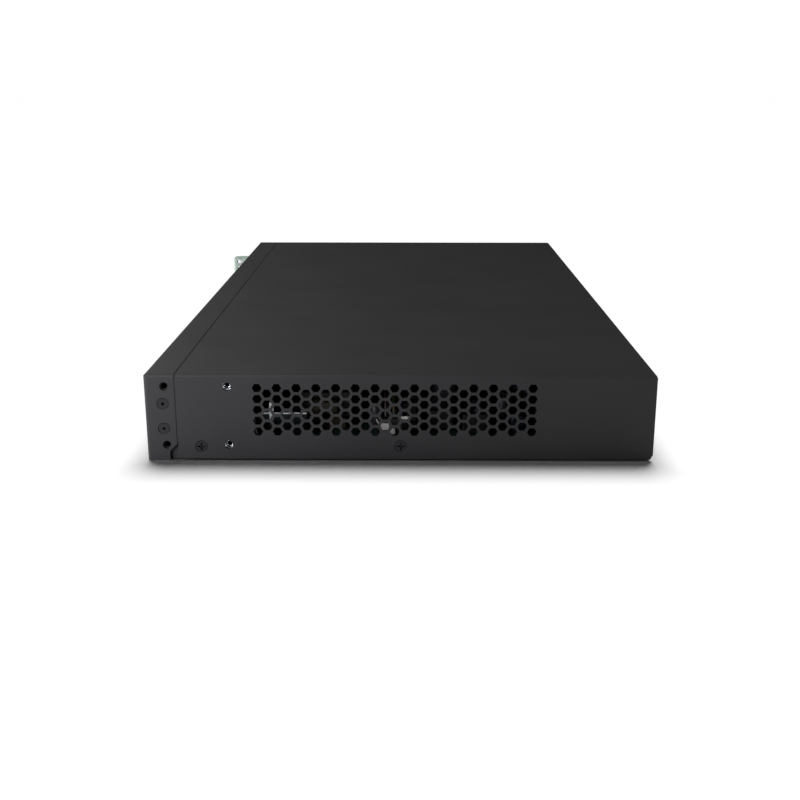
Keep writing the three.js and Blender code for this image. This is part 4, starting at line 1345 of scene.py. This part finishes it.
@dataclass
class PowerSupply:
    """The open-frame supply on the right: heatsinks, transformer, capacitors, choke and its plug."""

    shop: Workshop
    choke_turns: int = 26
    choke_wire: float = 0.5 * MM
    blocked: Sequence[str] = (
        "supply_heatsink_input", "supply_heatsink_output", "heatsink_clip", "supply_transformer",
        "supply_capacitor", "supply_choke", "supply_plug", "supply_harness",
    )

    def build(self) -> None:
        """Makes the board and everything on it."""
        self.shop.refine(Finish.LAMINATE, 0.05, "supply_board")
        # painted shade: both supply heatsinks take the darkened aluminium
        self.shop.refine(Finish.ANODISED, 0.12, *self.blocked[:2])
        self._input_heatsink()
        self.shop.refine(Finish.ZINC, 0.1, "heatsink_clip")
        self._transformer()
        self._capacitor()
        self._choke()
        self._plug()
        for lead, finish in (("live", Finish.LIVE), ("neutral", Finish.NEUTRAL), ("earth", Finish.EARTH)):
            self.shop.refine(finish, 0, f"lead_{lead}", smooth=75)
        self.shop.refine(Finish.DARK_WIRE, 0, "supply_harness", smooth=75)
        self._populate()

    def _input_heatsink(self) -> None:
        """Makes a bright strip along the input heatsink's top edge, a painted highlight, and what both
        heatsinks cool.
        """
        low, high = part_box("supply_heatsink_input")
        # painted highlight: a bright strip along the top edge of the dark heatsink
        painted_highlight = Stock().block(off((high.x, low.y, high.z), -1.5, 0, -0.8), off(high, 0.04, 0, 0.04))
        self.shop.piece("heatsink_painted_highlight", painted_highlight, Finish.ALUMINIUM, edge=0.1)
        foot = (high.x, low.y, low.z)
        cooled = Stock().block(off(foot, -6, 2, 2), off((high.x, low.y, high.z), -1.6, 12, -1))
        low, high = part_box("supply_heatsink_output")
        foot = (high.x, low.y, low.z)
        cooled.block(off(foot, 0.1, 26, 3), off(foot, 4.6, 36, 18))
        self.shop.piece("supply_transistors", cooled, Finish.CHIP, edge=0.3)

    def _transformer(self) -> None:
        """Makes the taped winding, the ferrite core round it and the bobbin below."""
        low, middle, high = span("supply_transformer")
        axis, top = (middle.x, middle.y, 0), (middle.x, middle.y, high.z)
        left, right = (low.x, middle.y, 0), (high.x, middle.y, 0)
        winding = Stock().block(off(left, 0, -7, 16.05), off(right, 0, 7, 23.95))
        taped = self.shop.piece("transformer_winding", winding, Finish.TAPE, edge=2)
        core = Stock()
        for side in (-1, 1):
            core.block(off(axis, -8, side * 7.3, 14.1), off(top, 8, side * 13, 0))
        core.block(off(axis, -8, -7.3, 24.1), off(top, 8, 7.3, 0))
        self.shop.piece("transformer_core", core, Finish.FERRITE, edge=0.5)
        bobbin = Stock().block(off((middle.x, middle.y, low.z), -11, -10, 0), off(axis, 11, 10, 14))
        self.shop.piece("transformer_bobbin", bobbin, Finish.PHENOLIC, edge=0.4)
        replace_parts(taped, "supply_transformer")

    def _capacitor(self) -> None:
        """Makes the big capacitor: a sleeved can with a scored top."""
        low, middle, high = span("supply_capacitor")
        radius = (high.x - low.x) / 2 / MM
        tall = (high.z - low.z) / MM
        profile = [
            (radius * 0.94, 0), (radius, 0.6), (radius, 1.6), (radius * 0.95, 2.2),
            (radius, 2.9), (radius, tall - 1.2), (radius * 0.97, tall - 0.4), (radius * 0.9, tall - 0.1),
        ]
        can = Stock().lathe((middle.x, middle.y, low.z), (0, 0, 1), profile, 40)
        sleeved = self.shop.piece("capacitor_sleeve", can, Finish.SLEEVE, edge=0)
        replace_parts(sleeved, "supply_capacitor")
        profile = [(radius * 0.84, 0), (radius * 0.84, 0.55), (radius * 0.8, 0.6)]
        lid = Stock().lathe((middle.x, middle.y, high.z - 0.6 * MM), (0, 0, 1), profile, 40)
        self.shop.piece("capacitor_lid", lid, Finish.ALUMINIUM, edge=0)

    def _choke(self) -> None:
        """Makes the ring choke: a core with turns of wire and its base."""
        low, middle, high = span("supply_choke")
        outer = (high.x - low.x) / 2
        base = low.z + 1.6 * MM
        tall = high.z - base
        ring = Stock()
        for index in range(self.choke_turns):
            angle = 2 * math.pi * index / self.choke_turns
            across = Vector((math.cos(angle), math.sin(angle), 0)) * outer
            centre = Vector((middle.x, middle.y, base + tall / 2)) + across * 0.68
            loop = []
            for step in range(13):
                turn = 2 * math.pi * step / 12
                out = across * (0.27 * math.cos(turn))
                loop.append(centre + out + Vector((0, 0, tall * 0.42 * math.sin(turn))))
            ring.tube(loop, self.choke_wire, 8)
        wound = self.shop.piece("choke_winding", ring, Finish.COPPER, edge=0)
        hub = (middle.x, middle.y, base + 1.5 * MM)
        radius = outer * 0.86 / MM
        core = Stock().lathe(hub, (0, 0, 1), [(radius, 0), (radius, tall / MM - 3)], 40)
        self.shop.piece("choke_core", core, Finish.FERRITE, edge=0.6)
        foot = Stock().block(off(low, 2, 2, 0), off((high.x, high.y, base), -2, -2, 0))
        self.shop.piece("choke_base", foot, Finish.BLACK_PLASTIC, edge=0.3)
        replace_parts(wound, "supply_choke")

    def _plug(self) -> None:
        """Makes the plug black, as painted shade, and puts small white blocks and a thin white streak on its
        face as painted glints.
        """
        # painted shade: the plug is made black, to stand in for the shade it sits in
        self.shop.refine(Finish.BLACK_PLASTIC, 0.2, "supply_plug")
        low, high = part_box("supply_plug")
        front = (high.x, low.y, low.z)
        # painted glints: small white blocks on the plug's face stand in for glints of light
        painted_glints = Stock()
        painted_glints.block(off(front, -0.6, -0.6, 2.6), off(front, 0.2, 3.6, 7.2))
        painted_glints.block(off(front, -0.6, 4.1, 1.3), off(front, 0.2, 6.6, 4.6))
        painted_glints.block(off(high, -0.6, -2.6, -1), off(high, 0.2, 1.4, 1.6))
        self.shop.piece("plug_painted_glints", painted_glints, Finish.WHITE_NYLON, edge=0.3)
        # painted glint: a thin white streak beside the plug
        bends = [(0, -0.2, 5.6), (0.2, -1.8, 7), (-0.4, -2.9, 9.4)]
        glint_streak = Stock().tube([off(front, *bend) for bend in bends], 0.35 * MM)
        self.shop.piece("painted_glint_streak", glint_streak, Finish.WHITE_NYLON, edge=0)

    def _populate(self) -> None:
        """Scatters film capacitors, discs and cans over the supply board."""
        low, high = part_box("supply_board")
        corners = (low.x + 3 * MM, low.y + 3 * MM), (high.x - 3 * MM, high.y - 12 * MM, high.z)
        parts = SmallParts(21, *corners, self.blocked)
        boxes, discs, cans = Stock(), Stock(), Stock()
        for spot in parts.places(4, 7):
            boxes.block(off(spot, -3, -6, 0.3), off(spot, 3, 6, 10))
        for spot in parts.places(5, 5):
            discs.lathe(off(spot, -1.4, 0, 6), (1, 0, 0), [(3.2, 0), (4, 0.8), (4, 2), (3.2, 2.8)], 28)
            for across in (-2.2, 2.2):
                discs.bar(off(spot, 0, across, 0), off(spot, 0, across, 4), 0.35, 8)
        for spot in parts.places(7, 5):
            cans.lathe(off(spot, 0, 0, 0.2), (0, 0, 1), [(3.8, 0), (4, 0.4), (4, 11.4), (3.6, 12)], 28)
        self.shop.piece("supply_film_capacitors", boxes, Finish.FILM_BOX, edge=0.4)
        self.shop.piece("supply_discs", discs, Finish.BLUE_DISC, edge=0)
        self.shop.piece("supply_small_cans", cans, Finish.SLEEVE, edge=0)


# ------------------------------------------------------------------ rear


@dataclass
class MainsInlet:
    """The mains inlet at the rear, its blades, and the earthing screw with its washer."""

    shop: Workshop
    teeth: int = 14

    def build(self) -> None:
        """Makes the inlet and the screw beside it."""
        self.shop.refine(Finish.BLACK_PLASTIC, 0.3, "power_inlet")
        self.shop.refine(Finish.NICKEL, 0.2, "inlet_pin_earth", "inlet_pin_live", "inlet_pin_neutral")
        self.shop.refine(Finish.ZINC, 0.15, "ground_screw")
        self._washer()

    def _washer(self) -> None:
        """Makes the toothed washer behind the earthing screw's head."""
        middle = span("ground_screw")[1]
        face = (middle.x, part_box("chassis_base")[1].y, middle.z)
        outline = []
        for index in range(self.teeth * 2):
            angle = math.pi * index / self.teeth
            radius = 4.6 if index % 2 else 3.9
            outline.append(off(face, radius * math.cos(angle), 0.01, radius * math.sin(angle)))
        washer = Stock().sheet(outline, (0, 0.08 * MM, 0))
        self.shop.piece("ground_washer", washer, Finish.ZINC, edge=0)


# ------------------------------------------------------------------ fans


@dataclass
class Fan:
    """One 40 mm fan: housing, rotor and lead."""

    shop: Workshop
    place: str
    axle_y: float
    axle_z: float = 21.6 * MM
    blades: int = 7
    hub: float = 11.5
    tip: float = 18.0
    root: float = 0.6
    chord: float = 9.0
    thick: float = 1.0

    def build(self) -> None:
        """Makes the housing, the rotor and the lead."""
        self.shop.refine(Finish.BLACK_PLASTIC, 0.3, f"fan_frame_{self.place}", smooth=35)
        self.shop.refine(Finish.DARK_WIRE, 0, f"fan_lead_{self.place}", smooth=75)
        self._rotor()
        self._screws()

    def _rotor(self) -> None:
        """Makes the hub with its curved blades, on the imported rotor's axis."""
        node = f"fan_rotor_{self.place}"
        low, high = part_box(node)
        face = Vector((low.x + 0.02 * MM, self.axle_y, self.axle_z))
        back = Vector((high.x - 3 * MM, self.axle_y, self.axle_z))
        deep = (back.x - face.x) / MM
        profile = [(self.hub - 1.2, 0), (self.hub - 0.4, 0.3), (self.hub, 1.1), (self.hub, deep)]
        rotor = Stock().lathe(face, (1, 0, 0), profile, 48)
        rotor.bar(off(back, -1, 0, 0), off(back, 3, 0, 0), 1.15, 20)
        for index in range(self.blades):
            self._blade(rotor, (face + back) / 2, 2 * math.pi * index / self.blades)
        self.shop.stand_in(node, rotor, Finish.BLACK_PLASTIC, 0.1, node, 35)

    def _blade(self, rotor: Stock, centre: Vector, angle: float, across: int = 10, out: int = 6) -> None:
        """Adds one cambered blade.

        Args:
            rotor: Where it goes.
            centre: The middle of the rotor on its axis.
            angle: Where the blade stands round the axis.
            across: How many facets it has from edge to edge.
            out: How many it has from root to tip.
        """
        turn = Matrix.Rotation(angle, 4, "X")
        grid: dict[tuple[float, int, int], bmesh.types.BMVert] = {}
        faces = (-0.5, 0.5)
        for side, j, i in product(faces, range(out + 1), range(across + 1)):
            radius = self.hub - self.root + j / out * (self.tip - self.hub + self.root)
            pitch = math.radians(48 - 14 * j / out)
            along = i / across - 0.5
            run = along * self.chord
            camber = 0.05 * (run * run - 20) + side * self.thick * (1 - abs(along))
            x = run * math.cos(pitch) - camber * math.sin(pitch)
            z = run * math.sin(pitch) + camber * math.cos(pitch)
            grid[side, j, i] = rotor.mesh.verts.new(centre + turn @ (Vector((x, radius, z)) * MM))
        for side, j, i in product(faces, range(out), range(across)):
            corners = (j, i), (j, i + 1), (j + 1, i + 1), (j + 1, i)
            rotor.mesh.faces.new([grid[side, a, b] for a, b in corners])
        rim = [(0, i) for i in range(across)] + [(j, across) for j in range(out)]
        rim += [(out, i) for i in range(across, 0, -1)] + [(j, 0) for j in range(out, 0, -1)]
        for here, after in zip(rim, rim[1:] + rim[:1]):
            corners = (-0.5, *here), (-0.5, *after), (0.5, *after), (0.5, *here)
            rotor.mesh.faces.new([grid[corner] for corner in corners])

    def _screws(self) -> None:
        """Makes the four screws that hold the housing."""
        low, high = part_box(f"fan_frame_{self.place}")
        heads = Stock()
        for y, z in product((low.y + 4 * MM, high.y - 4 * MM), (low.z + 4 * MM, high.z - 4 * MM)):
            face = (high.x, y, z)
            heads.bar(off(face, -16, 0, 0), off(face, 0.1, 0, 0), 1.3, 16)
            heads.lathe(off(face, 0.05, 0, 0), (1, 0, 0), [(2.8, 0), (2.8, 0.8), (1.8, 1.6)], 24)
        self.shop.piece(f"fan_screws_{self.place}", heads, Finish.ZINC, edge=0)


# ------------------------------------------------------------------ studio


def hang(light: bpy.types.Light, towards: Vector) -> bpy.types.Object:
    """Hangs a light.

    Args:
        light: The light.
        towards: Where it shines.

    Returns:
        The hung light.
    """
    hung = bpy.data.objects.new(light.name, light)
    hung.rotation_euler = towards.to_track_quat("-Z", "Y").to_euler()
    bpy.context.scene.collection.objects.link(hung)
    return hung


@dataclass
class Softbox:
    """One rectangular soft light."""

    name: str
    place: Point
    aim: Point
    size: tuple[float, float]
    watts: float
    colour: Rgb = (1.0, 1.0, 1.0)

    def build(self) -> bpy.types.Object:
        """Hangs the light and turns it to its aim.

        Returns:
            The light.
        """
        light = bpy.data.lights.new(self.name, "AREA")
        light.color = self.colour
        light.shape = "RECTANGLE"
        light.size, light.size_y = self.size
        light.energy = self.watts
        hung = hang(light, Vector(self.aim) - Vector(self.place))
        hung.location = self.place
        hung.visible_camera = False
        return hung


@dataclass
class Overhead:
    """A broad far light from above, which whitens the floor and lays a short soft shadow on it."""

    towards: Point = (0.42, 0.0, -1.0)
    spread: float = 33.0
    strength: float = 3.45

    def build(self) -> bpy.types.Object:
        """Hangs the light.

        Returns:
            The light.
        """
        light = bpy.data.lights.new("overhead", "SUN")
        light.energy = self.strength
        light.angle = math.radians(self.spread)
        return hang(light, Vector(self.towards))


@dataclass
class Studio:
    """A pale floor, soft light and the camera."""

    eye: Point = (0.7372, 0.0045, 0.1838)
    down: float = 16.43
    across: float = 0.49
    lens: float = 49.76
    sensor: float = 36.0
    surround: float = 0.07
    backdrop: float = 1.1
    paper: Paper = Paper((0.95, 0.95, 0.95))
    half_floor: float = 12.0
    floor_level: float = -0.1 * MM
    boxes: tuple[Softbox, ...] = (
        Softbox("key", (0.4, -0.33, 0.12), (0.22, -0.12, 0.02), (0.2, 0.14), 1.92, (0.97, 0.94, 1)),
        Softbox("front", (-0.3, -0.9, 0.45), (-0.1, -0.12, 0.02), (0.9, 0.4), 7.8),
        Softbox("rear", (0.2, 0.95, 0.55), (0.0, 0.12, 0.02), (0.9, 0.3), 6.0),
        Softbox("left", (-0.6, -0.75, 0.25), (-0.22, -0.05, 0.02), (0.4, 0.3), 4.0),
        Softbox("crown", (0.45, -0.3, 0.8), (0.2, -0.05, 0.04), (0.25, 0.25), 2.7),
    )

    def build(self) -> None:
        """Sets the whole studio."""
        bpy.context.scene.view_settings.view_transform = "Standard"
        self._camera()
        self._surround()
        laid = self._floor()
        self._only(Overhead().build(), laid, "INCLUDE")
        for box in self.boxes:
            self._only(box.build(), laid, "EXCLUDE")

    @staticmethod
    def _only(light: bpy.types.Object, laid: bpy.types.Object, state: str) -> None:
        """Keeps a light to the floor, or off it.

        Args:
            light: The light.
            laid: The floor.
            state: INCLUDE to light only the floor, EXCLUDE to light everything else.
        """
        lit = bpy.data.collections.new(f"{light.name}_lit")
        lit.objects.link(laid)
        lit.collection_objects[0].light_linking.link_state = state
        light.light_linking.receiver_collection = lit

    def _camera(self) -> None:
        """Places the camera to the right of the switch, a little above it."""
        view = bpy.data.cameras.new("camera")
        view.lens = self.lens
        view.sensor_width = self.sensor
        view.clip_start = 0.01
        view.clip_end = 50.0
        seat = bpy.data.objects.new("camera", view)
        seat.location = self.eye
        seat.rotation_euler = (math.radians(90 - self.down), 0.0, math.radians(90 + self.across))
        bpy.context.scene.collection.objects.link(seat)
        bpy.context.scene.camera = seat

    def _surround(self) -> None:
        """Surrounds everything with a white backdrop that lights the switch only dimly."""
        world = bpy.data.worlds.new("surround")
        bpy.context.scene.world = world
        bench = Bench(world)
        seen = bench.node("ShaderNodeLightPath", {}, {}, "Is Camera Ray")
        inputs = {"Value": seen, "To Min": self.surround, "To Max": self.backdrop}
        level = bench.node("ShaderNodeMapRange", {}, inputs)
        inputs = {"Color": (1.0, 1.0, 1.0, 1.0), "Strength": level}
        bench.end(bench.node("ShaderNodeBackground", {}, inputs), "ShaderNodeOutputWorld")

    def _floor(self) -> bpy.types.Object:
        """Lays the pale floor just under the case.

        Returns:
            The floor.
        """
        signs = ((-1, -1), (1, -1), (1, 1), (-1, 1))
        corners = [(x * self.half_floor, y * self.half_floor, self.floor_level) for x, y in signs]
        data = bpy.data.meshes.new("floor")
        data.from_pydata(corners, [], [range(4)])
        data.materials.append(self.paper.make("floor_paper"))
        laid = bpy.data.objects.new("floor", data)
        bpy.context.scene.collection.objects.link(laid)
        return laid


def main() -> None:
    """Builds the studio and the switch, step by step."""
    logging.basicConfig(level=logging.INFO, format="%(message)s")
    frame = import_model()
    shop = Workshop(frame)
    steps: list[tuple[str, Callable[[], None]]] = [
        ("studio", Studio().build),
        ("case", SheetCase(shop).build),
        ("front sockets", FrontSockets(shop).build),
        ("terminal block", TerminalBlock(shop).build),
        ("main board", MainBoard(shop).build),
        ("power supply", PowerSupply(shop).build),
        ("mains inlet", MainsInlet(shop).build),
        ("front fan", Fan(shop, "front", -22 * MM).build),
        ("rear fan", Fan(shop, "rear", 42 * MM).build),
    ]
    for name, build in steps:
        build()
        log.info("made the %s", name)


if __name__ == "__main__":
    main()
